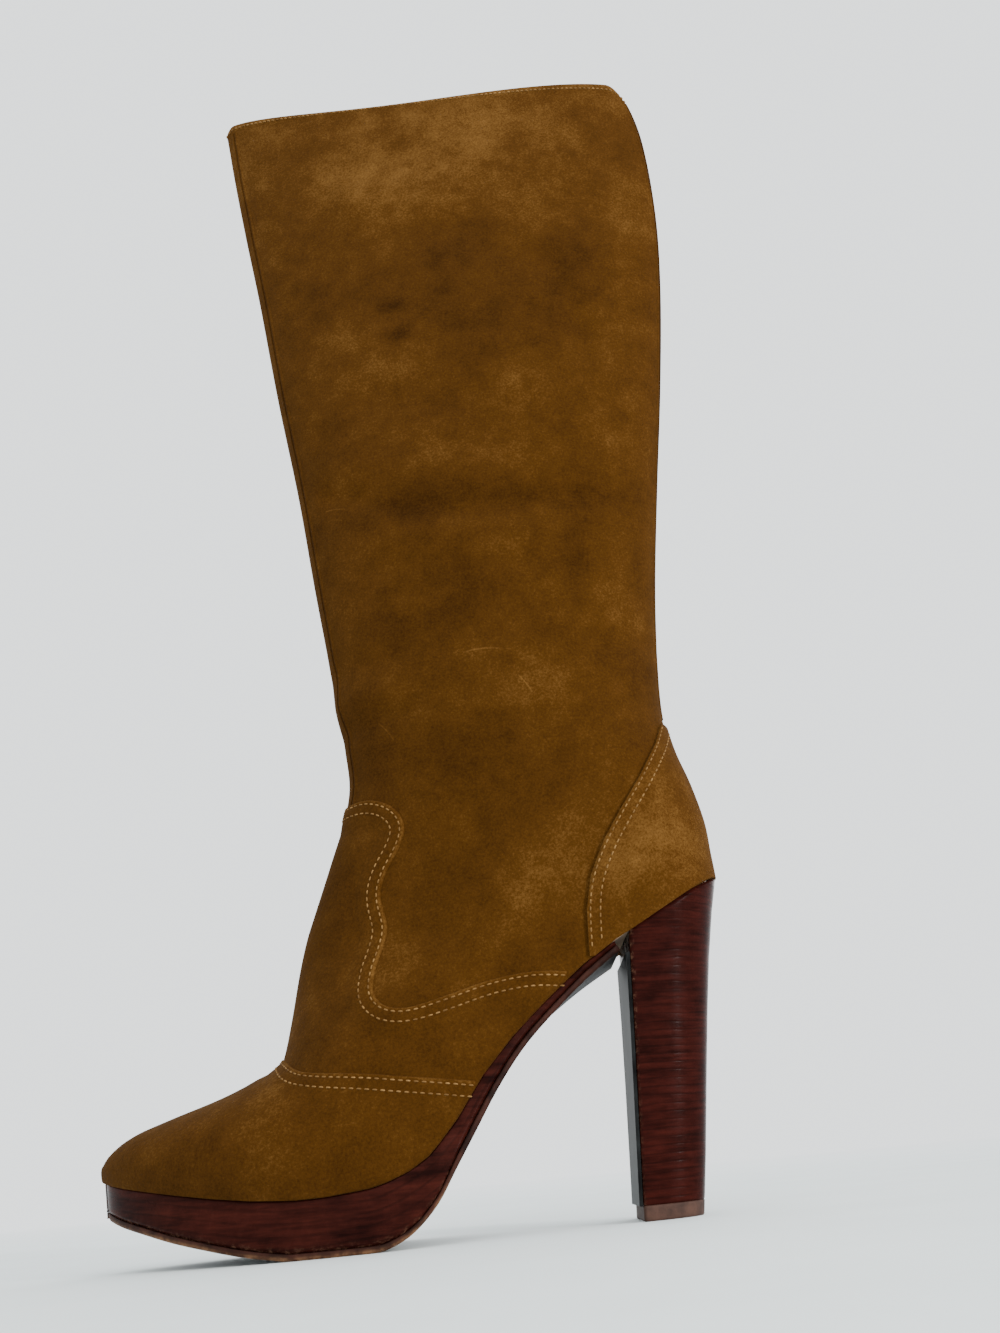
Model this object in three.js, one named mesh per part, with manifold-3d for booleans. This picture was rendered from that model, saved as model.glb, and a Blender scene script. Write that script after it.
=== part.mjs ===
// A left knee-high boot with a platform sole and a tall stacked heel, standing empty on a floor.
// Millimetres. +X points to the toe, +Y to the outer (lateral) side of the foot and +Z up.
// The origin is the middle of the heel tip's tread face, on the floor.
import * as THREE from "three";
import { mergeVertices } from "three/addons/utils/BufferGeometryUtils.js";
import Module from "manifold-3d";

const wasm = await Module();
wasm.setup();

// ---- Driving dimensions ----

const WALL = 2.2; // suede and lining together
const GAP = 0.3; // between pieces that meet
const RING_POINTS = 34; // round each section of the last
const OVERSHOOT = 6; // how far a cutting form runs past what it cuts
const SIDE = 90; // half the width of a slab that cuts through the whole boot
const INNER_SIDE_Y = -9; // cuts on the inner side only stop here
const HEEL_END_X = -60; // cutting forms run from behind the heel
const TOE_END_X = 210; // to beyond the toe
const UNDER_Z = -20; // and from under the floor
const ANKLE_X = 55; // the shaft's sections turn about a vertical line here
const COUNTER_THICKNESS = 1.0;
const COUNTER_LIFT = 1.4; // the counter's lower edge stays this far above the seat
const INSOLE_THICKNESS = 2.2;
const OUTSOLE_THICKNESS = 2.0;
const SOLE_DRAFT = 1.0; // the tread is this much narrower than the top edge, on each side
const SOLE_RISE = 4; // the platform's blank runs this far up into the last before it is cut
const TOP_LIFT_HEIGHT = 5;
const BREAST_COVER_THICKNESS = 1.2;
const BREAST_COVER_DROP = 1; // its top, below the tread at the sole's heel end
const BREAST_COVER_INSET = 0.2; // its back edges from the heel's corners
const BREAST_COVER_BEVEL = 0.5; // its front face is this much narrower on each side
const HEEL_BLUNTNESS = 2.6; // superellipse exponent of the heel's rounded back
const HEEL_POINTS = 25; // round the heel's sides and back
const TAPE_RECESS = 0.6; // the zip tape lies this far below the suede's surface
const TAPE_THICKNESS = 1.2;
const FOOT_CUT = { half_width: 20, depth: 10 }; // the form that trims the tape's lower end
const SLIDER_Z = 476; // height of the slider's middle
const SLIDER_LEAN_SPAN = 6; // the slider leans as the suede does this far above and below it
const SLIDER = { width: 8.4, nose: 5.6, length: 12, thickness: 1.8 };
const SLIDER_CORNERS = { low: -0.3, high: 0.6, top: 0.7 }; // shares of the half length, and of the half width
const BRIDGE = { width: 2, length: 6.6, height: 2.9, hole_length: 3.4, hole_height: 1.9 };
const PULL = {
  width: 5.6, length: 24, thickness: 1.1, slot_width: 3, slot_length: 7, arm: 1.1, eye: 2.2, eye_rise: 0.6,
};
const ROUND_END_SEGMENTS = 8;

// ---- Tables: a row for each section, with named columns ----

const rowsOf = (columns, table) =>
  table.map((row) => Object.fromEntries(columns.map((name, i) => [name, row[i]])));

// The outside of the last and leg: sections from the collar down the shaft, round the back of the heel and
// along the bottom to the toe. Each lies in a plane through its back (or bottom) point and its front (or
// top) point. deep is how far it runs on past the back point, below the edge where the sole begins.
// lateral and medial are half widths and widest is where they are reached, as a share of the way to the
// front. blunt_back and blunt_front are superellipse exponents, ridge is the sideways place of the end
// points and turn is the section's rotation about the vertical line through the ankle, in degrees.
const LAST = rowsOf(
  ["back_x", "back_z", "deep", "front_x", "front_z", "lateral", "medial", "widest", "blunt_back",
    "blunt_front", "ridge", "turn"],
  [
    [-12, 499.5, 0, 176, 491.3, 11, 13, 0.46, 1.95, 1.9, 0, -8.5],
    [-19.5, 466, 0, 171.5, 465, 14, 15.5, 0.45, 1.95, 1.9, 0, -8],
    [-23, 425, 0, 163, 424, 17.5, 18.5, 0.44, 1.95, 1.9, 0, -7],
    [-22.5, 385, 0, 154.5, 385, 20.5, 21, 0.43, 1.95, 1.9, 0, -6],
    [-19, 335, 0, 144.5, 335, 23.5, 23.5, 0.42, 1.95, 1.9, 0, -4.5],
    [-14.2, 285, 0, 134, 286, 25, 25, 0.41, 1.95, 1.9, 0, -3],
    [-10.2, 240, 0, 126, 243, 26, 26, 0.4, 2, 1.9, 0, -1.5],
    [-8.8, 208, 0, 120, 212, 27, 27, 0.38, 2, 1.95, 0, -0.5],
    [-9, 184, 0, 116.4, 190, 28, 28, 0.36, 2.05, 2, 0, 0],
    [-12, 168, 0, 112.7, 173, 28.5, 28.5, 0.34, 2.1, 2, 0, 0],
    [-17.2, 153, 0, 111, 159, 29, 29, 0.32, 2.2, 2, 0, 0],
    [-21.2, 138, 0, 112.8, 146, 29.3, 29, 0.31, 2.3, 2, 0, 0],
    [-22.5, 126, 0, 116.4, 133, 29.5, 29, 0.3, 2.4, 2, 0, 0],
    [-22.8, 118, 0.5, 119.8, 121, 29.5, 29, 0.3, 2.6, 2, 0, 0],
    [-21, 113.2, 2.4, 122.4, 112, 29.5, 28.8, 0.32, 3, 2, 0, 0],
    [-12, 108.3, 11, 124.6, 104, 29.5, 28.5, 0.34, 3.5, 2.05, 0, 0],
    [0, 102.2, 15, 126.2, 96, 30, 28.7, 0.36, 4, 2.05, 0, 0],
    [14, 94, 14, 127.3, 88.5, 31, 29.2, 0.4, 4.4, 2.1, 0, 0],
    [28, 84, 12, 128.2, 81, 32.5, 30, 0.44, 4.6, 2.1, 0, 0],
    [41, 72.5, 10.5, 129, 74.2, 34.5, 31, 0.46, 4.6, 2.15, 0, 0],
    [52.5, 61.5, 9.5, 129.8, 68, 36.5, 32, 0.46, 4.6, 2.2, 0, 0],
    [62.7, 49.8, 9, 130.6, 63.4, 38.5, 33.5, 0.44, 4.6, 2.2, 0, 0],
    [71.2, 37, 8, 131.6, 60.3, 40.3, 34.7, 0.4, 4.6, 2.2, 0, 0],
    [80.2, 26.6, 7.5, 134.8, 58.4, 42, 36, 0.35, 4.6, 2.2, 0, 0],
    [93, 20, 7, 138.8, 56.7, 43, 37.3, 0.3, 4.6, 2.2, 0, 0],
    [106, 17.6, 6, 143.4, 54.4, 42.8, 38, 0.27, 4.6, 2.2, -0.3, 0],
    [120, 17.2, 6, 149.1, 52, 41, 37.8, 0.25, 4.6, 2.2, -0.7, 0],
    [134, 18.2, 6, 155.7, 49.7, 37.5, 36.2, 0.25, 4.6, 2.2, -1.2, 0],
    [147, 20, 6, 162.8, 47.5, 32.6, 33.4, 0.26, 4.6, 2.2, -1.7, 0],
    [159, 22, 6, 169.9, 45.2, 26.6, 29.4, 0.27, 4.4, 2.2, -2.3, 0],
    [169.5, 23.9, 5.5, 176.9, 42.8, 19.8, 24.4, 0.29, 4, 2.2, -3, 0],
    [178, 25.5, 5, 182.7, 39.8, 12.8, 18.8, 0.32, 3.6, 2.2, -3.6, 0],
    [184, 27, 4, 186.9, 36.4, 6.4, 13, 0.36, 3, 2.1, -4, 0],
    [187.4, 28, 3, 188.8, 33.8, 1, 8.4, 0.42, 2.4, 2, -4.2, 0],
  ],
);
const SHAFT_ROWS = 10; // the rows above the heel, which get a smooth section between each two

// The platform and outsole together: sections from the heel breast to the toe. Each runs from a point on
// the bottom of the last to a point on the tread; lateral and medial are half widths at the top edge.
const SOLE = rowsOf(
  ["top_x", "top_z", "tread_x", "tread_z", "lateral", "medial"],
  [
    [16.4, 92.3, 14.6, 89.4, 25.4, 24.6],
    [28, 84, 25.4, 80.8, 26.4, 24],
    [41, 72.5, 37.8, 69, 28.6, 24],
    [52.5, 61.5, 48.6, 57.6, 31.4, 25],
    [62.7, 49.8, 57.4, 45.6, 34.2, 27],
    [71.2, 37, 65.6, 32, 36.8, 29.4],
    [76, 31.2, 71.6, 22, 38.6, 31.4],
    [80.2, 26.6, 77.4, 12.2, 39.8, 32.8],
    [86, 22.8, 84.6, 4.8, 40.8, 34.2],
    [93, 20, 92, 0.9, 41.3, 35.4],
    [99, 18.5, 98.6, 0, 41.4, 36.2],
    [112, 17.3, 112, 0, 41, 36.7],
    [121, 17.2, 121, 0, 39.6, 36.5],
    [134, 18.2, 134, 2, 36.4, 35],
    [147, 20, 147, 5, 31.6, 32.4],
    [159, 22, 158.8, 8, 25.6, 28.4],
    [169.5, 23.9, 169, 11.1, 18.8, 23.4],
    [178, 25.5, 177.2, 13.6, 11.8, 17.8],
    [182.8, 26.6, 181.8, 15.3, 6.6, 13.4],
    [185.6, 27.4, 184.4, 16.3, 2.2, 9.6],
    [187, 27.8, 185.7, 16.9, -1.6, 6.6],
  ],
);
const ARCH_SKEW = 0.15; // the arch and ball lie this much further forward for each mm toward the inner side
const ARCH = { heel: 14, waist: 46, ball: 96, toe: 150 }; // x where the skew starts, is full, and ends
const OUTER_EDGE_Y = 36; // the skew is measured from here
const SEAT_BACK = { x: -24.5, z: 116.5 }; // the heel seat runs down from here to the sole's first row
const TOE_END_Z = 33.6; // the sole's top edge, drawn on past the toe, ends at this height

// The heel: level sections from the tip to above the seat, flat at the breast and round at the back.
const HEEL = rowsOf(
  ["z", "breast_x", "back_x", "half_width"],
  [
    [0, 11, -11, 17],
    [20, 10.9, -13.2, 18],
    [45, 10.8, -15.5, 19.6],
    [68, 10.8, -17.7, 21.8],
    [88, 11, -19.9, 24.4],
    [104, 11.4, -22, 26.6],
    [121, 11.8, -24.6, 27.8],
  ],
);

// The heel counter's front edge in side view, from its tip down to the seat.
const COUNTER_EDGE = rowsOf(
  ["x", "z"],
  [
    [-7, 178],
    [-3, 166],
    [4, 152],
    [12, 139],
    [19, 127],
    [24, 115],
    [26, 103],
    [26, 84],
  ],
);

// The zip's middle line on the inner side in side view, from above the collar to the waist, with half the
// gap between the suede edges.
const ZIP = rowsOf(
  ["x", "z", "half"],
  [
    [91.5, 504, 7.2],
    [90, 476, 5.4],
    [87, 440, 4.5],
    [79, 385, 4.4],
    [71.5, 335, 4.4],
    [65, 290, 4.4],
    [59.5, 250, 4.4],
    [53, 210, 4.4],
    [45.5, 172, 4.4],
    [40, 140, 4.4],
    [38, 112, 4.4],
    [39.5, 92, 4.4],
  ],
);
// The opening between the two chains above the slider.
const ZIP_SPLIT = rowsOf(
  ["x", "z", "half"],
  [
    [91.5, 504, 3.2],
    [90.2, 479, 0.5],
  ],
);

// ---- Small geometry helpers ----

const radians = (degrees) => (degrees * Math.PI) / 180;

// The rows with one more between each two, on a smooth curve through the given ones.
function refine(rows) {
  const at = (i) => rows[Math.min(Math.max(i, 0), rows.length - 1)];
  const halfway = (i, name) =>
    (9 * (at(i)[name] + at(i + 1)[name]) - at(i - 1)[name] - at(i + 2)[name]) / 16;
  const between = (i) => Object.fromEntries(Object.keys(rows[0]).map((name) => [name, halfway(i, name)]));
  return rows.flatMap((row, i) => (i < rows.length - 1 ? [row, between(i)] : [row]));
}

// The table's row at height z, between the two rows it falls between.
function rowAt(rows, z) {
  const i = Math.max(rows.findIndex((row) => row.z >= z), 1);
  const [low, high] = [rows[i - 1], rows[i]];
  const t = (z - low.z) / (high.z - low.z);
  return Object.fromEntries(Object.keys(low).map((name) => [name, low[name] + (high[name] - low[name]) * t]));
}

// The outer distance of a superellipse with unit axes in the direction of angle.
function superRadius(angle, exponent) {
  const across = Math.abs(Math.cos(angle)) ** exponent + Math.abs(Math.sin(angle)) ** exponent;
  return across ** (-1 / exponent);
}

// The closed surface over rings of equal length, with a flat end at each side.
function loft(rings) {
  const size = rings[0].length;
  const points = rings.flat().map((p) => p.clone());
  const faces = [];
  for (let r = 0; r < rings.length - 1; r++) {
    for (let i = 0; i < size; i++) {
      const a = r * size + i;
      const b = r * size + ((i + 1) % size);
      faces.push(a, b, b + size, a, b + size, a + size);
    }
  }
  const cap = (start, flip) => {
    const hub = new THREE.Vector3();
    for (let i = 0; i < size; i++) hub.addScaledVector(points[start + i], 1 / size);
    const middle = points.push(hub) - 1;
    for (let i = 0; i < size; i++) {
      const pair = [start + i, start + ((i + 1) % size)];
      faces.push(...(flip ? pair.reverse() : pair), middle);
    }
  };
  const last = (rings.length - 1) * size;
  cap(0, true);
  cap(last, false);
  return new THREE.BufferGeometry().setFromPoints(points).setIndex(faces);
}

// A three.js geometry as a manifold-3d solid, turned right side out.
function solid(geometry) {
  const bare = geometry.clone();
  bare.deleteAttribute("normal");
  bare.deleteAttribute("uv");
  const merged = mergeVertices(bare, 1e-4);
  const vertProperties = new Float32Array(merged.attributes.position.array);
  const build = (triVerts) => new wasm.Manifold(new wasm.Mesh({ numProp: 3, vertProperties, triVerts }));
  const faces = new Uint32Array(merged.index.array);
  const made = build(faces);
  return made.volume() > 0 ? made : build(faces.reverse());
}

// A solid with its inner side drawn forward at the arch and ball.
function skewed(made) {
  return made.warp((p) => {
    const rising = (p[0] - ARCH.heel) / (ARCH.waist - ARCH.heel);
    const falling = (ARCH.toe - p[0]) / (ARCH.toe - ARCH.ball);
    const share = Math.min(Math.max(Math.min(rising, falling), 0), 1);
    p[0] += ARCH_SKEW * share * (OUTER_EDGE_Y - p[1]);
  });
}

// A closed side-view outline pushed through the boot from fromY to toY.
function slab(outline, fromY, toY) {
  const shape = new THREE.Shape(outline.map((p) => new THREE.Vector2(p.x, p.z)));
  const pushed = new THREE.ExtrudeGeometry(shape, { depth: toY - fromY, bevelEnabled: false });
  return solid(pushed.rotateX(Math.PI / 2).translate(0, toY, 0));
}

// A side-view line moved sideways by a distance, to the left of its direction when positive.
function moved(line, distance) {
  return line.map((p, i) => {
    const before = line[Math.max(i - 1, 0)];
    const after = line[Math.min(i + 1, line.length - 1)];
    const along = new THREE.Vector2(after.x - before.x, after.z - before.z).normalize();
    const by = typeof distance === "function" ? distance(p) : distance;
    return { x: p.x - along.y * by, z: p.z + along.x * by };
  });
}

// A band on both sides of a side-view line whose rows have a half width, made narrower by trim.
function band(line, trim, fromY, toY) {
  const left = moved(line, (p) => p.half - trim);
  const right = moved(line, (p) => trim - p.half);
  return slab([...left, ...right.reverse()], fromY, toY);
}

// ---- The last ----

const STATIONS = [...refine(LAST.slice(0, SHAFT_ROWS)), ...LAST.slice(SHAFT_ROWS)];

// One section of the last as a ring of points.
function section(row) {
  const front = new THREE.Vector3(row.front_x, 0, row.front_z);
  const edge = new THREE.Vector3(row.back_x, 0, row.back_z);
  const forward = front.clone().sub(edge).normalize();
  const back = edge.addScaledVector(forward, -row.deep);
  const length = back.distanceTo(front);
  const centre = back.clone().addScaledVector(forward, length * row.widest);
  const turn = new THREE.Matrix4().makeRotationZ(radians(row.turn));
  return Array.from({ length: RING_POINTS }, (_, i) => {
    const angle = (2 * Math.PI * i) / RING_POINTS;
    const toFront = Math.cos(angle) > 0;
    const reach = length * (toFront ? 1 - row.widest : row.widest);
    const half = Math.sin(angle) > 0 ? row.lateral - row.ridge : row.medial + row.ridge;
    const radius = superRadius(angle, toFront ? row.blunt_front : row.blunt_back);
    const point = centre.clone().addScaledVector(forward, reach * radius * Math.cos(angle));
    point.y = row.ridge + half * radius * Math.sin(angle);
    point.x -= ANKLE_X;
    point.applyMatrix4(turn);
    point.x += ANKLE_X;
    return point;
  });
}

const RINGS = STATIONS.map(section);

// The outward direction of the last's surface at a point of a ring.
function outward(r, i) {
  const ring = RINGS[r];
  const around = ring[(i + 1) % RING_POINTS].clone().sub(ring[(i + RING_POINTS - 1) % RING_POINTS]);
  const onward = RINGS[Math.min(r + 1, RINGS.length - 1)][i].clone().sub(RINGS[Math.max(r - 1, 0)][i]);
  return onward.cross(around).normalize();
}

// The rings of the last's surface moved outward by a distance, or inward when it is negative.
function movedRings(distance) {
  return RINGS.map((ring, r) => ring.map((p, i) => p.clone().addScaledVector(outward(r, i), distance)));
}

const form = (distance) => solid(loft(movedRings(distance)));

// The same, run out through the collar so that it cuts the top open.
function openForm(distance) {
  const rings = movedRings(distance);
  const above = rings[0].map((p) => p.clone().add(new THREE.Vector3(0, 0, OVERSHOOT)));
  return solid(loft([above, ...rings]));
}

// ---- The edge where upper and sole meet ----

// The line of the seat and the sole's top in side view, run on past the heel and the toe.
const SEAT_FRONT = { x: SOLE[0].top_x, z: SOLE[0].top_z };
const SEAT_SLOPE = (SEAT_BACK.z - SEAT_FRONT.z) / (SEAT_BACK.x - SEAT_FRONT.x);
const FEATHER_LINE = [
  { x: HEEL_END_X, z: SEAT_BACK.z + (HEEL_END_X - SEAT_BACK.x) * SEAT_SLOPE },
  SEAT_BACK,
  ...SOLE.map((row) => ({ x: row.top_x, z: row.top_z })),
  { x: TOE_END_X, z: TOE_END_Z },
];

// Everything under the feather line once it has been raised by a distance.
function belowFeather(raise) {
  const line = moved(FEATHER_LINE, raise);
  const floor = [{ x: line.at(-1).x, z: UNDER_Z }, { x: line[0].x, z: UNDER_Z }];
  return skewed(slab([...line, ...floor], -SIDE, SIDE));
}

// ---- Upper, counter and insole ----

const SLOT = band(ZIP, 0, -SIDE, INNER_SIDE_Y);

function makeUpper() {
  return form(0).subtract(openForm(-WALL)).subtract(belowFeather(GAP)).subtract(SLOT);
}

function makeCounter() {
  const [low, high] = [COUNTER_EDGE.at(-1).z, COUNTER_EDGE[0].z];
  const behind = [...COUNTER_EDGE, { x: HEEL_END_X, z: low }, { x: HEEL_END_X, z: high }];
  const skin = form(GAP + COUNTER_THICKNESS).subtract(form(GAP));
  return skin.intersect(slab(behind, -SIDE, SIDE)).subtract(belowFeather(COUNTER_LIFT));
}

function makeInsole() {
  const layer = belowFeather(GAP + INSOLE_THICKNESS).subtract(belowFeather(GAP));
  return form(-WALL - GAP).intersect(layer);
}

// ---- Soles and heel ----

// The sole's sections between two depths, measured from the tread (0) up to the top edge and past it.
function soleBlank(fromDepth, toDepth) {
  const rings = SOLE.map((row) => {
    const tread = new THREE.Vector3(row.tread_x, 0, row.tread_z);
    const up = new THREE.Vector3(row.top_x, 0, row.top_z).sub(tread);
    const height = up.length();
    up.normalize();
    const upper = toDepth ?? height + SOLE_RISE;
    const corner = (depth, side) => {
      const draft = SOLE_DRAFT * Math.max(1 - depth / height, 0);
      const y = side > 0 ? row.lateral - draft : draft - row.medial;
      return tread.clone().addScaledVector(up, depth).setY(y);
    };
    return [corner(fromDepth, 1), corner(fromDepth, -1), corner(upper, -1), corner(upper, 1)];
  });
  return skewed(solid(loft(rings)));
}

const makePlatform = () => soleBlank(OUTSOLE_THICKNESS + GAP).intersect(belowFeather(0));

const makeOutsole = () => soleBlank(0, OUTSOLE_THICKNESS);

// One level section of the heel.
function heelRing(row) {
  const middle = (HEEL_POINTS - 1) / 2;
  return Array.from({ length: HEEL_POINTS }, (_, i) => {
    const angle = ((i - middle) / middle) * (Math.PI / 2);
    const radius = superRadius(angle, HEEL_BLUNTNESS);
    const depth = (row.breast_x - row.back_x) * radius * Math.cos(angle);
    return new THREE.Vector3(row.breast_x - depth, row.half_width * radius * Math.sin(angle), row.z);
  });
}

const heelRows = (fromZ, toZ) => [
  rowAt(HEEL, fromZ),
  ...HEEL.filter((row) => row.z > fromZ && row.z < toZ),
  rowAt(HEEL, toZ),
];

const makeHeel = () =>
  solid(loft(heelRows(TOP_LIFT_HEIGHT, HEEL.at(-1).z).map(heelRing))).intersect(belowFeather(0));

const makeTopLift = () => solid(loft(heelRows(0, TOP_LIFT_HEIGHT).map(heelRing)));

// The cover on the heel's flat front, from the top lift to the waist of the sole.
function makeHeelBreast() {
  const top = SOLE[0].tread_z - BREAST_COVER_DROP;
  const rings = heelRows(TOP_LIFT_HEIGHT, top).map((row) => {
    const near = row.breast_x + GAP;
    const far = near + BREAST_COVER_THICKNESS;
    const corner = (x, y) => new THREE.Vector3(x, y, row.z);
    const wide = row.half_width - BREAST_COVER_INSET;
    const narrow = wide - BREAST_COVER_BEVEL;
    return [corner(near, wide), corner(near, -wide), corner(far, -narrow), corner(far, narrow)];
  });
  return solid(loft(rings)).subtract(soleBlank(-GAP));
}

// ---- Zip ----

function makeZipTape() {
  const strip = band(ZIP, GAP, -SIDE, INNER_SIDE_Y);
  const skin = form(-TAPE_RECESS).subtract(openForm(-TAPE_RECESS - TAPE_THICKNESS));
  const end = ZIP.at(-1);
  const [behind, ahead] = [end.x - FOOT_CUT.half_width, end.x + FOOT_CUT.half_width];
  const [low, high] = [end.z - FOOT_CUT.depth, end.z + GAP];
  const foot = [{ x: behind, z: high }, { x: ahead, z: high }, { x: ahead, z: low }, { x: behind, z: low }];
  const opening = band(ZIP_SPLIT, 0, -SIDE, INNER_SIDE_Y);
  return skin.intersect(strip).subtract(opening).subtract(slab(foot, -SIDE, INNER_SIDE_Y));
}

// A frame on the inner side of the last at height z on the zip: x across it, y outward and z up along it.
function zipFrame(z) {
  const skin = new THREE.Mesh(loft(RINGS), new THREE.MeshBasicMaterial({ side: THREE.DoubleSide }));
  const onSkin = (height) => {
    const { x } = rowAt([...ZIP].reverse(), height);
    const ray = new THREE.Raycaster(new THREE.Vector3(x, -2 * SIDE, height), new THREE.Vector3(0, 1, 0));
    return ray.intersectObject(skin)[0];
  };
  const above = onSkin(z + SLIDER_LEAN_SPAN).point;
  const up = above.sub(onSkin(z - SLIDER_LEAN_SPAN).point).normalize();
  const hit = onSkin(z);
  const side = hit.face.normal.y < 0 ? hit.face.normal : hit.face.normal.negate();
  const across = side.clone().cross(up).normalize();
  const out = up.clone().cross(across);
  return new THREE.Matrix4().makeBasis(across, out, up).setPosition(hit.point);
}

const plate = (sizeX, sizeY, sizeZ, y, z) =>
  solid(new THREE.BoxGeometry(sizeX, sizeY, sizeZ).translate(0, y + sizeY / 2, z));

const SLIDER_BACK = GAP - TAPE_RECESS; // the slider's back, from the suede's surface
const SLIDER_FACE = SLIDER_BACK + SLIDER.thickness;
const PIVOT_Y = SLIDER_FACE + BRIDGE.hole_height / 2; // the pull turns about a line at this height

// The slider's plate in its own frame, with a bridge that holds the pull.
function makeSlider(frame) {
  const half = SLIDER.length / 2;
  const wide = SLIDER.width / 2;
  const nose = SLIDER.nose / 2;
  const [low, high, top] = [half * SLIDER_CORNERS.low, half * SLIDER_CORNERS.high, wide * SLIDER_CORNERS.top];
  const shape = new THREE.Shape(
    [[-nose, -half], [nose, -half], [wide, low], [wide, high], [top, half], [-top, half], [-wide, high],
      [-wide, low]].map(([x, z]) => new THREE.Vector2(x, z)),
  );
  const body = new THREE.ExtrudeGeometry(shape, { depth: SLIDER.thickness, bevelEnabled: false });
  body.rotateX(Math.PI / 2).translate(0, SLIDER_FACE, 0);
  const arch = plate(BRIDGE.width, BRIDGE.height, BRIDGE.length, SLIDER_FACE, 0);
  const hole = plate(2 * BRIDGE.width, BRIDGE.hole_height, BRIDGE.hole_length, SLIDER_FACE, 0);
  return placed(solid(body).add(arch.subtract(hole)), frame);
}

// The pull in the slider's frame, hanging down from the bar that runs through the bridge.
function makePull(frame) {
  const bottom = PULL.arm / 2 - PULL.length;
  const low = bottom + PULL.width / 2;
  const shape = new THREE.Shape();
  const wide = PULL.width / 2;
  shape.moveTo(-wide, PULL.arm / 2).lineTo(wide, PULL.arm / 2).lineTo(wide, low);
  shape.absarc(0, low, wide, 0, -Math.PI, true);
  const push = { depth: PULL.thickness, bevelEnabled: false, curveSegments: ROUND_END_SEGMENTS };
  const tab = new THREE.ExtrudeGeometry(shape, push);
  tab.rotateX(Math.PI / 2).translate(0, PIVOT_Y + PULL.thickness / 2, 0);
  const through = 3 * PULL.thickness;
  const drill = (width, length, z) => plate(width, through, length, PIVOT_Y - through / 2, z);
  const slot = drill(PULL.slot_width, PULL.slot_length, -PULL.arm / 2 - PULL.slot_length / 2);
  const eye = drill(PULL.eye, PULL.eye, low + PULL.eye_rise);
  return placed(solid(tab).subtract(slot).subtract(eye), frame);
}

// ---- Assembly ----

// The solid's largest body as a three.js geometry.
function geometryOf(made) {
  const body = made.decompose().sort((a, b) => b.volume() - a.volume())[0];
  const mesh = body.getMesh();
  const geometry = new THREE.BufferGeometry();
  geometry.setAttribute("position", new THREE.BufferAttribute(mesh.vertProperties, 3));
  return geometry.setIndex(new THREE.BufferAttribute(mesh.triVerts, 1));
}

function placed(made, frame) {
  return solid(geometryOf(made).applyMatrix4(frame));
}

const boot = new THREE.Group();
boot.name = "knee_high_boot";

function addPart(name, color, made) {
  const mesh = new THREE.Mesh(geometryOf(made), new THREE.MeshStandardMaterial({ name, color }));
  mesh.name = name;
  boot.add(mesh);
}

const SUEDE = "#7a5020";
const MAHOGANY = "#3c1916";
const BRASS = "#b9a66a";

addPart("upper", SUEDE, makeUpper());
addPart("counter", SUEDE, makeCounter());
addPart("insole", "#c9ad90", makeInsole());
addPart("platform", MAHOGANY, makePlatform());
addPart("outsole", "#1d1815", makeOutsole());
addPart("heel", MAHOGANY, makeHeel());
addPart("heel_breast", "#17120f", makeHeelBreast());
addPart("top_lift", "#5f3c2d", makeTopLift());
addPart("zip_tape", "#4b2d19", makeZipTape());
const sliderFrame = zipFrame(SLIDER_Z);
addPart("zip_slider", BRASS, makeSlider(sliderFrame));
addPart("zip_pull", BRASS, makePull(sliderFrame));

export default boot;
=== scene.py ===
"""Looks of the left knee-high boot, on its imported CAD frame. Tables and shapes are in millimetres, in the
CAD's axes: +X to the toe, +Y to the outer side and +Z up. Blender objects are made in metres."""
import math

import bmesh
import bpy
import numpy as np
from mathutils import Matrix, Vector
from mathutils.bvhtree import BVHTree


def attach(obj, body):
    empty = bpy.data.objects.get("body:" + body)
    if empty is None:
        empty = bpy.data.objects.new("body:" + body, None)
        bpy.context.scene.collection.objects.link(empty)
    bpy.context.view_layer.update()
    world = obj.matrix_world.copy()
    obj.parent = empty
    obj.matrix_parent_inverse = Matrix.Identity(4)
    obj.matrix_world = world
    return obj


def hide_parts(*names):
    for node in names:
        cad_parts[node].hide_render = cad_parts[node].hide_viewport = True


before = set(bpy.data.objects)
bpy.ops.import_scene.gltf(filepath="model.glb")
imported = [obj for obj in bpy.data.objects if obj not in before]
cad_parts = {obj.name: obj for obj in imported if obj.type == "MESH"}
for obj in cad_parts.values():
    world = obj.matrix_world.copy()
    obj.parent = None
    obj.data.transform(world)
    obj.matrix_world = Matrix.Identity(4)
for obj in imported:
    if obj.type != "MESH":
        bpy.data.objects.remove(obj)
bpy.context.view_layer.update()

# ---- Sizes that the looks share with the CAD ----

MM = 0.001
WALL = 2.2
ANKLE_X = 55
COUNTER_OUT = 1.3  # the counter's face, from the upper's surface
COUNTER_LIFT = 0.2  # the counter's lower edge over the feather line
OUTSOLE_THICKNESS = 2.0
SOLE_DRAFT = 1.0
TOP_LIFT_HEIGHT = 5.0
TAPE_RECESS = 0.9
SLIDER_Z = 476
ARCH_SKEW = 0.15
ARCH = (14, 46, 96, 150)  # x where the skew starts, is full, starts to fade and ends
OUTER_EDGE_Y = 36
LATERAL, MEDIAL = 1, -1

# ---- Sizes of the looks alone ----

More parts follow.
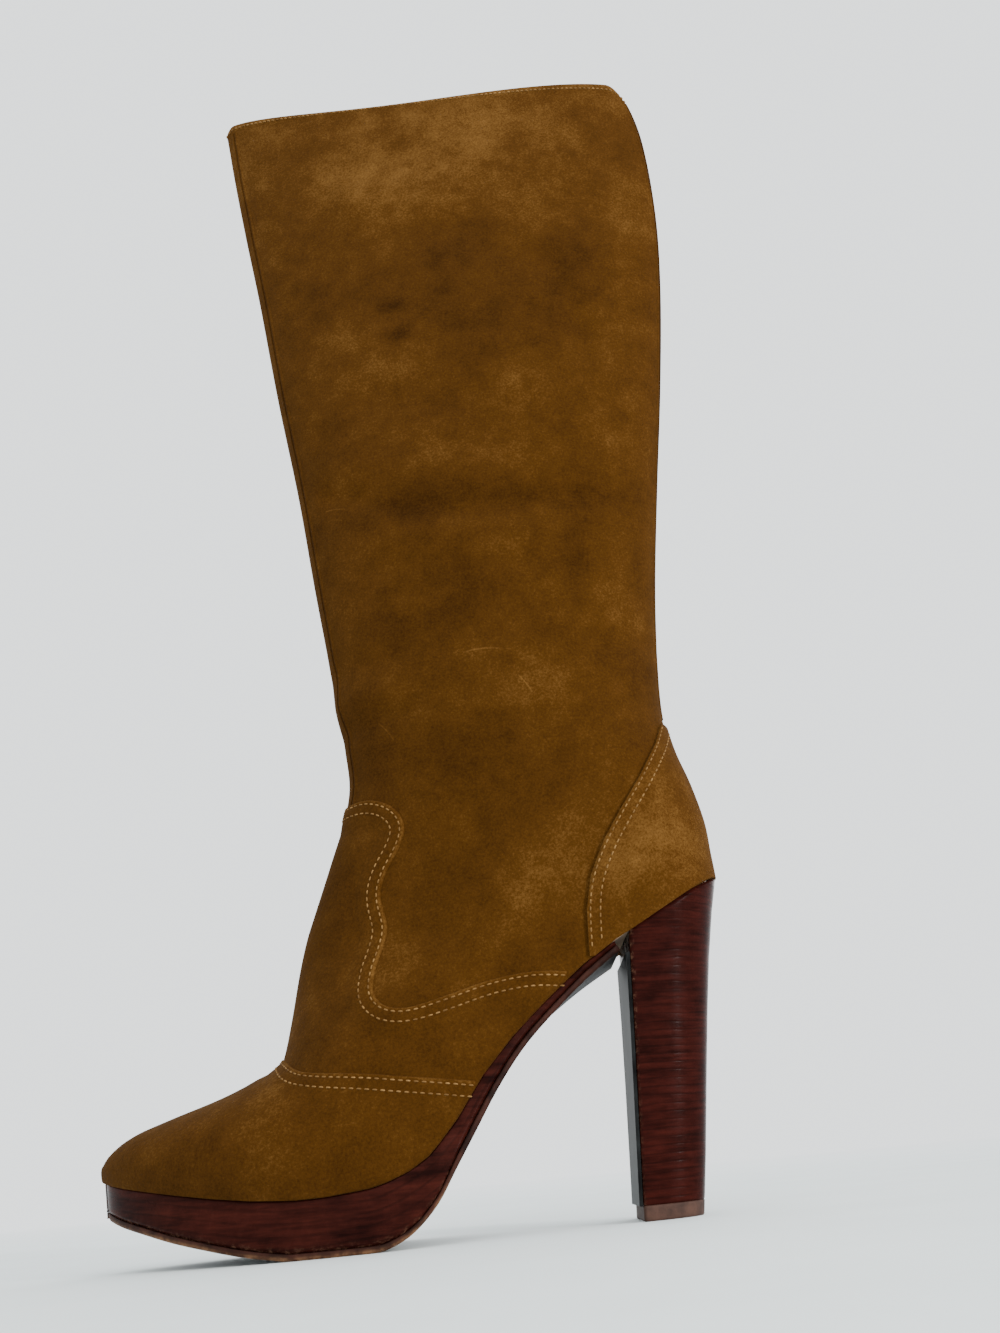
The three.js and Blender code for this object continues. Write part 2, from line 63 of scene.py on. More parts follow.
GRID_STEP = 2.6  # along the boot, between rows of the fine upper
GRID_COLUMNS = 240  # round the boot
FINE_ROWS = {12: 3, 13: 10, 14: 4, 15: 3}  # times as many rows where the seat's edge cuts across the sections
RIM_RADIUS = 1.1  # of the folded collar edge
FOLD, TUCK = 1.1, 2.4  # how far the suede turns inward at the zip and at the feather line
RIM_ROWS = 3  # rows at the collar that its rounded edge takes the place of
TURNED_IN_ROWS = (6, 4, 3)  # rows that the suede turned in behind the edge reaches down to
TURNED_IN_DEPTH = WALL + 0.25  # from the skin to that suede, which lies over the lining
LINING_COLUMNS = 100  # round the boot
COUNTER_COLUMNS = 56  # on each side of the boot
FRONT_CORNER, BACK_CORNER = 4.0, 8.0  # radii of the collar's corners in side view
COLLAR_DIP = 5.2  # the collar's edge sinks this much, deepest nearer the front
COLLAR_STITCH_ROW = 0.18  # the row number of the stitches under the collar's fold
COLLAR_STITCH_PITCH, COLLAR_STITCH_RADIUS, COLLAR_STITCH_LIFT = 2.1, 0.34, 0.2
STITCH_PITCH = 2.5
STITCH_RADIUS = 0.3
STITCH_LIFT = 0.08  # of the stitches over the skin
OVERLAY_STITCH_LIFT = 0.62
BEAD_SIDES = 6
ROW_SPACING = 3.5  # between the two rows of a double seam
EDGE_MARGIN = 1.3  # from an overlay's cut edge to its first row of stitches
TOOTH_PITCH = 1.5
WORN_EDGE = 0.9  # how far wear reaches up the sole's lower edges
SHAFT_TURN = 8.5  # degrees that the shaft has turned at the collar
SHAFT_TURN_START, SHAFT_TURN_HEIGHT = 190, 307  # z where it starts, and the height over which it grows

# The last's sections, as the CAD has them.
LAST_COLUMNS = ("back_x", "back_z", "deep", "front_x", "front_z", "lateral", "medial", "widest",
                "blunt_back", "blunt_front", "ridge", "turn")
LAST = np.array([
    [-12, 499.5, 0, 176, 491.3, 11, 13, 0.46, 1.95, 1.9, 0, -8.5],
    [-19.5, 466, 0, 171.5, 465, 14, 15.5, 0.45, 1.95, 1.9, 0, -8],
    [-23, 425, 0, 163, 424, 17.5, 18.5, 0.44, 1.95, 1.9, 0, -7],
    [-22.5, 385, 0, 154.5, 385, 20.5, 21, 0.43, 1.95, 1.9, 0, -6],
    [-19, 335, 0, 144.5, 335, 23.5, 23.5, 0.42, 1.95, 1.9, 0, -4.5],
    [-14.2, 285, 0, 134, 286, 25, 25, 0.41, 1.95, 1.9, 0, -3],
    [-10.2, 240, 0, 126, 243, 26, 26, 0.4, 2, 1.9, 0, -1.5],
    [-8.8, 208, 0, 120, 212, 27, 27, 0.38, 2, 1.95, 0, -0.5],
    [-9, 184, 0, 116.4, 190, 28, 28, 0.36, 2.05, 2, 0, 0],
    [-12, 168, 0, 112.7, 173, 28.5, 28.5, 0.34, 2.1, 2, 0, 0],
    [-17.2, 153, 0, 111, 159, 29, 29, 0.32, 2.2, 2, 0, 0],
    [-21.2, 138, 0, 112.8, 146, 29.3, 29, 0.31, 2.3, 2, 0, 0],
    [-22.5, 126, 0, 116.4, 133, 29.5, 29, 0.3, 2.4, 2, 0, 0],
    [-22.8, 118, 0.5, 119.8, 121, 29.5, 29, 0.3, 2.6, 2, 0, 0],
    [-21, 113.2, 2.4, 122.4, 112, 29.5, 28.8, 0.32, 3, 2, 0, 0],
    [-12, 108.3, 11, 124.6, 104, 29.5, 28.5, 0.34, 3.5, 2.05, 0, 0],
    [0, 102.2, 15, 126.2, 96, 30, 28.7, 0.36, 4, 2.05, 0, 0],
    [14, 94, 14, 127.3, 88.5, 31, 29.2, 0.4, 4.4, 2.1, 0, 0],
    [28, 84, 12, 128.2, 81, 32.5, 30, 0.44, 4.6, 2.1, 0, 0],
    [41, 72.5, 10.5, 129, 74.2, 34.5, 31, 0.46, 4.6, 2.15, 0, 0],
    [52.5, 61.5, 9.5, 129.8, 68, 36.5, 32, 0.46, 4.6, 2.2, 0, 0],
    [62.7, 49.8, 9, 130.6, 63.4, 38.5, 33.5, 0.44, 4.6, 2.2, 0, 0],
    [71.2, 37, 8, 131.6, 60.3, 40.3, 34.7, 0.4, 4.6, 2.2, 0, 0],
    [80.2, 26.6, 7.5, 134.8, 58.4, 42, 36, 0.35, 4.6, 2.2, 0, 0],
    [93, 20, 7, 138.8, 56.7, 43, 37.3, 0.3, 4.6, 2.2, 0, 0],
    [106, 17.6, 6, 143.4, 54.4, 42.8, 38, 0.27, 4.6, 2.2, -0.3, 0],
    [120, 17.2, 6, 149.1, 52, 41, 37.8, 0.25, 4.6, 2.2, -0.7, 0],
    [134, 18.2, 6, 155.7, 49.7, 37.5, 36.2, 0.25, 4.6, 2.2, -1.2, 0],
    [147, 20, 6, 162.8, 47.5, 32.6, 33.4, 0.26, 4.6, 2.2, -1.7, 0],
    [159, 22, 6, 169.9, 45.2, 26.6, 29.4, 0.27, 4.4, 2.2, -2.3, 0],
    [169.5, 23.9, 5.5, 176.9, 42.8, 19.8, 24.4, 0.29, 4, 2.2, -3, 0],
    [178, 25.5, 5, 182.7, 39.8, 12.8, 18.8, 0.32, 3.6, 2.2, -3.6, 0],
    [184, 27, 4, 186.9, 36.4, 6.4, 13, 0.36, 3, 2.1, -4, 0],
    [187.4, 28, 3, 188.8, 33.8, 1, 8.4, 0.42, 2.4, 2, -4.2, 0],
])

# The sole's sections: x and z of a point on the last's bottom, x and z of a point on the tread, and the
# lateral and medial half widths at the top edge.
SOLE = np.array([
    [16.4, 92.3, 14.6, 89.4, 25.4, 24.6],
    [28, 84, 25.4, 80.8, 26.4, 24],
    [41, 72.5, 37.8, 69, 28.6, 24],
    [52.5, 61.5, 48.6, 57.6, 31.4, 25],
    [62.7, 49.8, 57.4, 45.6, 34.2, 27],
    [71.2, 37, 65.6, 32, 36.8, 29.4],
    [76, 31.2, 71.6, 22, 38.6, 31.4],
    [80.2, 26.6, 77.4, 12.2, 39.8, 32.8],
    [86, 22.8, 84.6, 4.8, 40.8, 34.2],
    [93, 20, 92, 0.9, 41.3, 35.4],
    [99, 18.5, 98.6, 0, 41.4, 36.2],
    [112, 17.3, 112, 0, 41, 36.7],
    [121, 17.2, 121, 0, 39.6, 36.5],
    [134, 18.2, 134, 2, 36.4, 35],
    [147, 20, 147, 5, 31.6, 32.4],
    [159, 22, 158.8, 8, 25.6, 28.4],
    [169.5, 23.9, 169, 11.1, 18.8, 23.4],
    [178, 25.5, 177.2, 13.6, 11.8, 17.8],
    [182.8, 26.6, 181.8, 15.3, 6.6, 13.4],
    [185.6, 27.4, 184.4, 16.3, 2.2, 9.6],
    [187, 27.8, 185.7, 16.9, -1.6, 6.6],
])
SEAT_BACK = (-24.5, 116.5)

# The heel's level sections, flared a little more at the top than in the CAD, to meet the counter: z, x of the
# breast, x of the back and half width.
HEEL = np.array([
    [0, 11, -11, 17],
    [20, 10.9, -13.2, 18],
    [45, 10.8, -15.5, 19.6],
    [68, 10.8, -17.7, 21.8],
    [88, 11, -19.9, 24.4],
    [104, 11.4, -22.2, 28],
    [121, 11.8, -25.4, 30],
])
HEEL_BLUNTNESS = 2.6

# The counter's front edge in side view, as x and z.
COUNTER_EDGE = np.array([
    [-7, 178],
    [-3, 166],
    [4, 152],
    [12, 139],
    [19, 127],
    [24, 115],
    [26, 103],
    [26, 84],
])
# The zip's middle line in side view, as x, z and half the slot's width.
ZIP = np.array([
    [91.5, 504, 7.2],
    [90, 476, 5.4],
    [87, 440, 4.5],
    [79, 385, 4.4],
    [71.5, 335, 4.4],
    [65, 290, 4.4],
    [59.5, 250, 4.4],
    [53, 210, 4.4],
    [45.5, 172, 4.4],
    [40, 140, 4.4],
    [38, 112, 4.4],
    [39.5, 92, 4.4],
])
ZIP_END_Z = 92.3
ZIP_SPLIT = np.array([[90.2, 479, 0.4], [91.5, 504, 3.2]])  # x, z and half the opening above the slider


# ---- Curves and arrays ----

def table_at(table, u):
    """The table's row at each real row number in u, on a Catmull-Rom curve through the rows."""
    u = np.clip(np.asarray(u, float), 0, len(table) - 1)
    i = np.minimum(u.astype(int), len(table) - 2)
    t = (u - i)[..., None]
    p0, p1, p2, p3 = (table[np.clip(i + k, 0, len(table) - 1)] for k in (-1, 0, 1, 2))
    m1, m2, d = (p2 - p0) / 2, (p3 - p1) / 2, p2 - p1
    return p1 + t * (m1 + t * (3 * d - 2 * m1 - m2 + t * (m1 + m2 - 2 * d)))


def unit(v):
    return v / np.maximum(np.linalg.norm(v, axis=-1, keepdims=True), 1e-9)


def smoothstep(low, high, x):
    t = np.clip((x - low) / (high - low), 0, 1)
    return t * t * (3 - 2 * t)


def resample(path, step):
    """Points at even distances along a polyline."""
    lengths = np.concatenate([[0], np.cumsum(np.linalg.norm(np.diff(path, axis=0), axis=1))])
    count = max(int(round(lengths[-1] / step)), 1)
    at = np.linspace(0, lengths[-1], count + 1)
    return np.stack([np.interp(at, lengths, path[:, k]) for k in range(path.shape[1])], -1)


def super_radius(angle, exponent):
    return (np.abs(np.cos(angle)) ** exponent + np.abs(np.sin(angle)) ** exponent) ** (-1 / exponent)


def skew(x, y):
    """How far forward the inner side is drawn at the arch and ball, as the CAD draws its soles."""
    rising = (x - ARCH[0]) / (ARCH[1] - ARCH[0])
    falling = (ARCH[3] - x) / (ARCH[3] - ARCH[2])
    return ARCH_SKEW * np.clip(np.minimum(rising, falling), 0, 1) * (OUTER_EDGE_Y - y)


def skewed(points):
    out = points.copy()
    out[..., 0] += skew(points[..., 0], points[..., 1])
    return out


# ---- The last's surface ----

def collar_drop(to_front, to_back):
    """How far the collar's edge lies under the cut plane, by distance from its front and its back."""
    drop = COLLAR_DIP * np.sin(np.pi * np.clip(to_front / (to_front + to_back), 0, 1) ** 0.8) ** 2
    for distance, radius in ((to_front, FRONT_CORNER), (to_back, BACK_CORNER)):
        drop = drop + np.clip(radius - distance, 0, radius) ** 2 / radius
    return drop


def last_surface(u, angle):
    """Points of the last at real row numbers u and section angles in degrees; 0 is the front, 90 lateral."""
    row = dict(zip(LAST_COLUMNS, np.moveaxis(table_at(LAST, u), -1, 0)))
    a = np.radians(angle)
    c, s = np.cos(a), np.sin(a)
    run_x, run_z = row["front_x"] - row["back_x"], row["front_z"] - row["back_z"]
    run = np.hypot(run_x, run_z)
    forward_x, forward_z = run_x / run, run_z / run
    length = run + row["deep"]
    to_front = c > 0
    reach = np.where(to_front, 1 - row["widest"], row["widest"]) * length
    half = np.where(s > 0, row["lateral"] - row["ridge"], row["medial"] + row["ridge"])
    radius = super_radius(a, np.where(to_front, row["blunt_front"], row["blunt_back"]))
    along = row["widest"] * length + reach * radius * c - row["deep"]
    x = row["back_x"] + forward_x * along - ANKLE_X
    y = row["ridge"] + half * radius * s
    z = row["back_z"] + forward_z * along
    behind = along + row["deep"]
    z = z - collar_drop(length - behind, behind) * np.clip(1 - u, 0, 1) ** 2
    turn = np.radians(row["turn"])
    turned_x = ANKLE_X + x * np.cos(turn) - y * np.sin(turn)
    turned_y = x * np.sin(turn) + y * np.cos(turn)
    return np.stack([turned_x, turned_y, z], -1)


def last_normals(u, angle):
    """Outward unit normals of the last at real row numbers and angles."""
    along = last_surface(np.clip(u + 0.02, 0, len(LAST) - 1), angle)
    along = along - last_surface(np.clip(u - 0.02, 0, len(LAST) - 1), angle)
    around = last_surface(u, angle + 0.4) - last_surface(u, angle - 0.4)
    return unit(np.cross(along, around))


def row_numbers():
    """Real row numbers about GRID_STEP apart, from the collar to the toe."""
    numbers = []
    for i in range(len(LAST) - 1):
        step = LAST[i + 1] - LAST[i]
        length = max(math.hypot(step[0], step[1]), math.hypot(step[3], step[4]))
        count = max(int(round(length / GRID_STEP)), 2) * FINE_ROWS.get(i, 1)
        numbers += [i + k / count for k in range(count)]
    return np.array(numbers + [len(LAST) - 1.0])


ROWS = row_numbers()
TURN = np.linspace(0, 360, 721)


def feather_z(x, y, lift=0.0):
    """Height of the line where upper and sole meet, under a point, raised by lift along the line's normal."""
    line = np.array([[-50, SEAT_BACK[1] + 14.6], SEAT_BACK, *SOLE[:, :2], [210, 33.6]])
    line = resample(line, 1.0)
    normal = np.gradient(line, axis=0)
    normal = unit(np.stack([-normal[:, 1], normal[:, 0]], -1))
    line = line + normal * lift
    x_flat = np.array(x, float)
    for _ in range(3):  # undo the skew, which depends on the x it started from
        x_flat = x - skew(x_flat, y)
    return np.interp(x_flat, line[:, 0], line[:, 1])


def crossing(value, angles, fallback):
    """For each row, the first angle where value turns from positive to negative, else the fallback."""
    found = np.full(len(value), float(fallback))
    for r, v in enumerate(value):
        hits = np.nonzero((v[:-1] > 0) & (v[1:] <= 0))[0]
        if len(hits):
            k = hits[0]
            found[r] = angles[k] + (angles[k + 1] - angles[k]) * v[k] / (v[k] - v[k + 1])
    return found


def zip_x(z):
    return np.interp(z, ZIP[::-1, 1], ZIP[::-1, 0])


def zip_half(z):
    return np.interp(z, ZIP[::-1, 1], ZIP[::-1, 2]) * smoothstep(ZIP_END_Z - 2, ZIP_END_Z, z)


RING = last_surface(ROWS[:, None], TURN[None, :])
SEAT_ROW = 13.05  # the first row with an open bottom
ZIP_LAST_ROW = 17.3  # the last row that the zip reaches


def feather_angles(lift=0.0):
    """Angles where each row's section meets the feather line on the outer and the inner side."""
    above = RING[..., 2] - feather_z(RING[..., 0], RING[..., 1], lift)
    lateral = crossing(above[:, 90:361], TURN[90:361], 180)
    medial = crossing(above[:, 630:359:-1], TURN[630:359:-1], 180)
    lateral[ROWS < SEAT_ROW] = 180
    medial[ROWS < SEAT_ROW] = 180
    return lateral, medial


def open_below(lift=0.0):
    """Which rows are open underneath, as a column of cells."""
    lateral, medial = feather_angles(lift)
    return (medial - lateral)[:-1, None] > 0.5


def zip_angles():
    """Angles of the zip slot's front and back edges in each row; they meet where there is no slot."""
    side = slice(380, 700)
    offset = RING[:, side, 0] - zip_x(RING[:, side, 2])
    half = zip_half(RING[:, side, 2])
    front = crossing(-(offset - half), TURN[side], 250)
    back = crossing(-(offset + half), TURN[side], 250)
    last_row = np.nonzero(ROWS <= ZIP_LAST_ROW)[0][-1]
    front[last_row:] = back[last_row:] = (front[last_row] + back[last_row]) / 2
    return front, back


# ---- Meshes ----

def add_object(name, vertices, faces, attributes=None):
    """A mesh object from millimetre points, with named float attributes on its points."""
    mesh = bpy.data.meshes.new(name)
    mesh.from_pydata((np.asarray(vertices) * MM).tolist(), [], [list(map(int, f)) for f in faces])
    for key, values in (attributes or {}).items():
        attribute = mesh.attributes.new(key, "FLOAT", "POINT")
        attribute.data.foreach_set("value", np.asarray(values, np.float32))
    mesh.validate()
    mesh.shade_smooth()
    piece = bpy.data.objects.new(name, mesh)
    bpy.context.scene.collection.objects.link(piece)
    return piece


def grid_faces(rows, columns, wrap=False, keep=None, start=0):
    """Quads over a grid of points; keep, if given, says which cells are wanted."""
    r, c = np.meshgrid(np.arange(rows - 1), np.arange(columns if wrap else columns - 1), indexing="ij")
    if keep is not None:
        r, c = r[keep], c[keep]
    r, c = r.ravel(), c.ravel()
    d = (c + 1) % columns
    here, below = r * columns, (r + 1) * columns
    return np.stack([here + c, below + c, below + d, here + d], -1) + start


def clean(piece, distance=0.02):
    """Welds points that coincide and drops points that no face uses."""
    work = bmesh.new()
    work.from_mesh(piece.data)
    bmesh.ops.remove_doubles(work, verts=work.verts, dist=distance * MM)
    bmesh.ops.delete(work, geom=[v for v in work.verts if not v.link_faces], context="VERTS")
    work.to_mesh(piece.data)
    work.free()
    return piece


def solid_loft(name, rings, attributes=None):
    """A closed piece over rings of points, with a flat face at each end."""
    rows, columns = rings.shape[:2]
    faces = [list(f) for f in grid_faces(rows, columns, wrap=True)]
    faces += [list(range(columns))[::-1], [(rows - 1) * columns + k for k in range(columns)]]
    piece = add_object(name, rings.reshape(-1, 3), faces, attributes)
    work = bmesh.new()
    work.from_mesh(piece.data)
    bmesh.ops.recalc_face_normals(work, faces=work.faces)
    work.to_mesh(piece.data)
    work.free()
    return piece


def sharpen(piece, degrees):
    """Smooth shading that breaks at edges sharper than the angle."""
    piece.data.set_sharp_from_angle(angle=math.radians(degrees))


def bevel(piece, width, degrees=35, segments=2):
    modifier = piece.modifiers.new("edges", "BEVEL")
    modifier.width = width * MM
    modifier.segments = segments
    modifier.limit_method = "ANGLE"
    modifier.angle_limit = math.radians(degrees)
    modifier.harden_normals = True


# ---- Soft shape: creases and dents as troughs (negative) and ridges (positive) ----

# Each runs between two side-view points: x and z of both, its soft half width, its height and its side.
CREASES = np.array([
    [122, 279, 95, 271, 5, -1.2, LATERAL],
    [95, 271, 60, 265, 6, -1.5, LATERAL],
    [60, 265, 5, 275, 7, -1.1, LATERAL],
    [124, 292, 50, 284, 8, 0.9, LATERAL],
    [116, 256, 30, 252, 8, 0.7, LATERAL],
    [110, 322, 60, 316, 9, -0.8, LATERAL],
    [78, 412, 30, 385, 10, -0.7, LATERAL],
    [30, 395, 12, 340, 6, -0.8, LATERAL],
    [120, 430, 70, 430, 15, 0.9, LATERAL],
    [118, 202, 88, 206, 5, -0.9, LATERAL],
    [117, 190, 92, 192, 4, 0.7, LATERAL],
    [114, 178, 84, 184, 4, -1.0, LATERAL],
    [-6, 212, 24, 204, 5, -0.8, LATERAL],
    [60, 96, 40, 150, 14, 0.7, LATERAL],
    [126, 282, 60, 272, 7, -1.2, MEDIAL],
    [50, 276, 0, 270, 7, -1.0, MEDIAL],
    [118, 200, 88, 204, 5, -1.0, MEDIAL],
    [114, 178, 86, 184, 4, -1.0, MEDIAL],
    [44, 214, -4, 206, 5, -0.9, MEDIAL],
])


def crease_height(points):
    """How far the creases move each point of the upper outward, in mm."""
    x, y, z = points[..., 0], points[..., 1], points[..., 2]
    share = np.clip((z - SHAFT_TURN_START) / SHAFT_TURN_HEIGHT, 0, 1)
    middle = -(x - ANKLE_X) * np.tan(np.radians(SHAFT_TURN * share))
    total = np.zeros(x.shape)
    for x0, z0, x1, z1, width, height, side in CREASES:
        run = np.array([x1 - x0, z1 - z0])
        t = ((x - x0) * run[0] + (z - z0) * run[1]) / (run @ run)
        away = np.hypot(x - x0 - np.clip(t, 0, 1) * run[0], z - z0 - np.clip(t, 0, 1) * run[1])
        fade = smoothstep(-0.15, 0.15, t) * smoothstep(1.3, 0.7, t)
        facing = smoothstep(-3, 6, side * (y - middle))
        total += height * np.exp(-(away / width) ** 2) * fade * facing
    return total


def shaped(u, angle):
    """Points of the creased upper at real row numbers and angles, and their outward unit normals."""
    points, normals = last_surface(u, angle), last_normals(u, angle)
    return points + normals * crease_height(points)[..., None], normals


# A closed skin of the whole last, which seams, stitches and the zip are laid on.
SKIN_COLUMNS = 241
SKIN_ANGLE = np.broadcast_to(np.linspace(0, 360, SKIN_COLUMNS)[None, :], (len(ROWS), SKIN_COLUMNS))
SKIN_POINTS, _ = shaped(ROWS[:, None], SKIN_ANGLE)
SKIN_FACES = grid_faces(*SKIN_POINTS.shape[:2])
SKIN = BVHTree.FromPolygons(SKIN_POINTS.reshape(-1, 3).tolist(), SKIN_FACES.tolist())


def on_side(tree, x, z, side):
    """The point of a surface that is seen at x, z from the outer (1) or inner (-1) side, or None."""
    return tree.ray_cast(Vector((x, side * 200, z)), Vector((0, -side, 0)))[0]


def seen_path(tree, line, side):
    """A side-view line laid on a surface from one side, without the places where it misses."""
    hits = [on_side(tree, x, z, side) for x, z in line]
    return np.array([tuple(hit) for hit in hits if hit is not None])


def settle(tree, path):
    """Each point of a path on the nearest place of a surface, with the outward normals there."""
    hits = [tree.find_nearest(Vector(p)) for p in path]
    points = np.array([h[0] for h in hits])
    normals = np.array([h[1] for h in hits])
    for _ in range(2):  # even out the normals of single faces
        normals[1:-1] = unit(normals[:-2] + normals[1:-1] + normals[2:])
    if len(normals) > 2:
        normals[0], normals[-1] = normals[1], normals[-2]
    return points, normals


# ---- Suede: where it is lighter or darker, by its own blots, painted shade and painted sheen ----

# Soft patches on the outer side: x and z of the centre, half sizes, tilt in degrees and how much lighter.
# Most are the suede's own blots and marks; the dark bands along the creases are painted shade, and the light
# band on the ridge at z 288 and the broad patch over the shaft's top are painted sheen.
TONE_SHADE_AND_SHEEN_PATCHES = np.array([
    # painted sheen over the shaft's top
    [70, 470, 110, 55, 0, 0.35],
    [110, 440, 30, 20, 10, 0.3],
    [60, 460, 30, 12, 0, 0.2],
    [118, 355, 9, 12, 0, 0.45],
    [45, 320, 22, 12, 0, 0.25],
    [-8, 390, 8, 40, 0, 0.25],
    # painted shade along the creases, in this row and the four below
    [65, 400, 25, 18, 10, -0.35],
    [20, 380, 12, 40, 0, -0.35],
    [90, 322, 28, 10, 0, -0.35],
    [85, 270, 35, 7, -6, -0.5],
    [30, 270, 30, 8, 6, -0.35],
    # painted sheen along the ridge at z 288
    [80, 288, 30, 7, 0, 0.2],
    # painted shade in the crease at z 205
    [90, 205, 18, 14, 0, -0.25],
    [45, 190, 10, 10, 0, 0.25],
    [60, 204, 14, 2.5, 0, 0.3],
    [75, 160, 30, 12, 0, -0.25],
    [50, 108, 10, 20, 0, 0.4],
    [98, 85, 8, 12, 0, 0.3],
    [5, 122, 15, 16, 0, 0.35],
    [112, 125, 12, 22, 0, -0.25],
    [91, 352, 5, 3, 0, -0.8],
    [95, 368, 5, 3, 0, -0.7],
])


def tone_shade_and_sheen(points):
    """How much lighter (positive) or darker the suede is at each point, about -1 to 1: its own blots, with
    painted shade in the creases and painted sheen on a ridge and over the shaft's top.
    """
    x, y, z = points[..., 0], points[..., 1], points[..., 2]
    total = np.zeros(x.shape)
    for cx, cz, half_x, half_z, tilt, amount in TONE_SHADE_AND_SHEEN_PATCHES:
        c, s = math.cos(math.radians(tilt)), math.sin(math.radians(tilt))
        along, across = (x - cx) * c + (z - cz) * s, (z - cz) * c - (x - cx) * s
        total += amount * np.exp(-((along / half_x) ** 2 + (across / half_z) ** 2))
    return total * smoothstep(-14, 4, y + (x - ANKLE_X) * 0.15 * smoothstep(200, 480, z))


# ---- Upper, lining and counter ----

def boot_angles(columns, lift=0.0):
    """Section angles for two sheets: from the zip's front edge over the front to the outer feather edge, and
    from the inner feather edge to the zip's back edge. Where the bottom is closed they meet at the back."""
    front, back = zip_angles()
    lateral, medial = feather_angles(lift)
    outer_count = int(columns * 0.77)
    outer = np.linspace(0, 1, outer_count)[None, :]
    inner = np.linspace(0, 1, columns - outer_count)[None, :]
    outer = front[:, None] + outer * (360 + lateral - front)[:, None]
    inner = 360 + medial[:, None] + inner * (back - medial)[:, None]
    return outer, inner


def toe_cap(points):
    """The grid with rows added that close its last row to a rounded tip."""
    ring = points[-1]
    middle = ring.mean(0)
    rows = [middle + (ring - middle) * math.cos(a) + np.array([1.1 * math.sin(a), 0, 0])
            for a in np.radians([35, 65, 90])]
    return np.concatenate([points, rows])


def take(grid, column):
    """One column of a grid of points as a grid of its own, or the whole grid for None."""
    return grid if column is None else grid[:, [column]]


def make_upper():
    """The suede in two sheets that share the collar's rounded edge, turned in at every open edge."""
    (outer, outer_n), (inner, inner_n) = (
        shaped(ROWS[:, None], angle) for angle in boot_angles(GRID_COLUMNS))
    columns = [(outer, outer_n, 0, FOLD), (outer, outer_n, None, 0), (outer, outer_n, -1, TUCK),
               (inner, inner_n, 0, TUCK), (inner, inner_n, None, 0), (inner, inner_n, -1, FOLD)]
    points = np.concatenate([take(p, k) - take(n, k) * depth for p, n, k, depth in columns], 1)
    normals = np.concatenate([take(n, k) for _, n, k, _ in columns], 1)
    up = unit(points[0] - points[RIM_ROWS])
    rim = [points[k] - normals[k] * TURNED_IN_DEPTH for k in TURNED_IN_ROWS]
    for a in np.radians(range(180, -1, -30)):
        out, rise = RIM_RADIUS * (math.cos(a) - 1), RIM_RADIUS * (math.sin(a) - 1)
        rim.append(points[0] + normals[0] * out + up * rise)
    points = toe_cap(np.concatenate([rim, points[RIM_ROWS:]]))
    row_of = np.concatenate([np.zeros(len(rim)), ROWS[RIM_ROWS:], np.full(3, ROWS[-1])])
    slot = np.concatenate([np.full(len(rim), 9.0), zip_half(outer[RIM_ROWS:, 0, 2]), np.zeros(3)])
    slot[row_of > ZIP_LAST_ROW] = 0
    cells_open = np.concatenate([
        np.zeros((len(rim), 1), bool), open_below()[RIM_ROWS:], np.ones((3, 1), bool)])
    cells_slot = ((slot[:-1] > 0.4) & (slot[1:] > 0.4))[:, None]
    keep = np.ones((len(points) - 1, points.shape[1] - 1), bool)
    edge = outer.shape[1]
    keep[:, edge:edge + 1] &= cells_open
    keep[:, edge + 1:edge + 2] = False
    keep[:, edge + 2:edge + 3] &= cells_open
    keep[:, :1] &= cells_slot
    keep[:, -1:] &= cells_slot
    faces = grid_faces(*points.shape[:2], keep=keep)
    flat = points.reshape(-1, 3)
    edge_wear = np.exp(-((row_of - 0.02) / 0.05) ** 2)[:, None] * np.ones(points.shape[1])
    piece = add_object("upper_suede", flat, faces, {"tone_shade_and_sheen": tone_shade_and_sheen(flat), "wear": edge_wear.ravel()})
    return clean(piece)


def make_lining():
    """The lining's face inside the shaft and foot, from under the collar's fold."""
    piece_points, piece_faces, start = [], [], 0
    for angle in boot_angles(LINING_COLUMNS, lift=1.0):
        points, normals = shaped(ROWS[:, None], angle)
        points = (points - normals * WALL)[2:-6:2]
        piece_faces.append(grid_faces(*points.shape[:2], start=start)[:, ::-1])
        piece_points.append(points.reshape(-1, 3))
        start += points.shape[0] * points.shape[1]
    lining = add_object("lining", np.concatenate(piece_points), np.concatenate(piece_faces))
    return clean(lining, 0.05)


def counter_angles():
    """Angles of the counter's front edges and of its lower edge, on the outer and the inner side."""
    edge_x = np.interp(RING[..., 2], COUNTER_EDGE[::-1, 1], COUNTER_EDGE[::-1, 0])
    ahead = RING[..., 0] - edge_x
    front_lateral = crossing(ahead[:, :361], TURN[:361], 180)
    front_medial = crossing(ahead[:, :359:-1], TURN[:359:-1], 180)
    low_lateral, low_medial = feather_angles(COUNTER_LIFT)
    return front_lateral, low_lateral, low_medial, front_medial


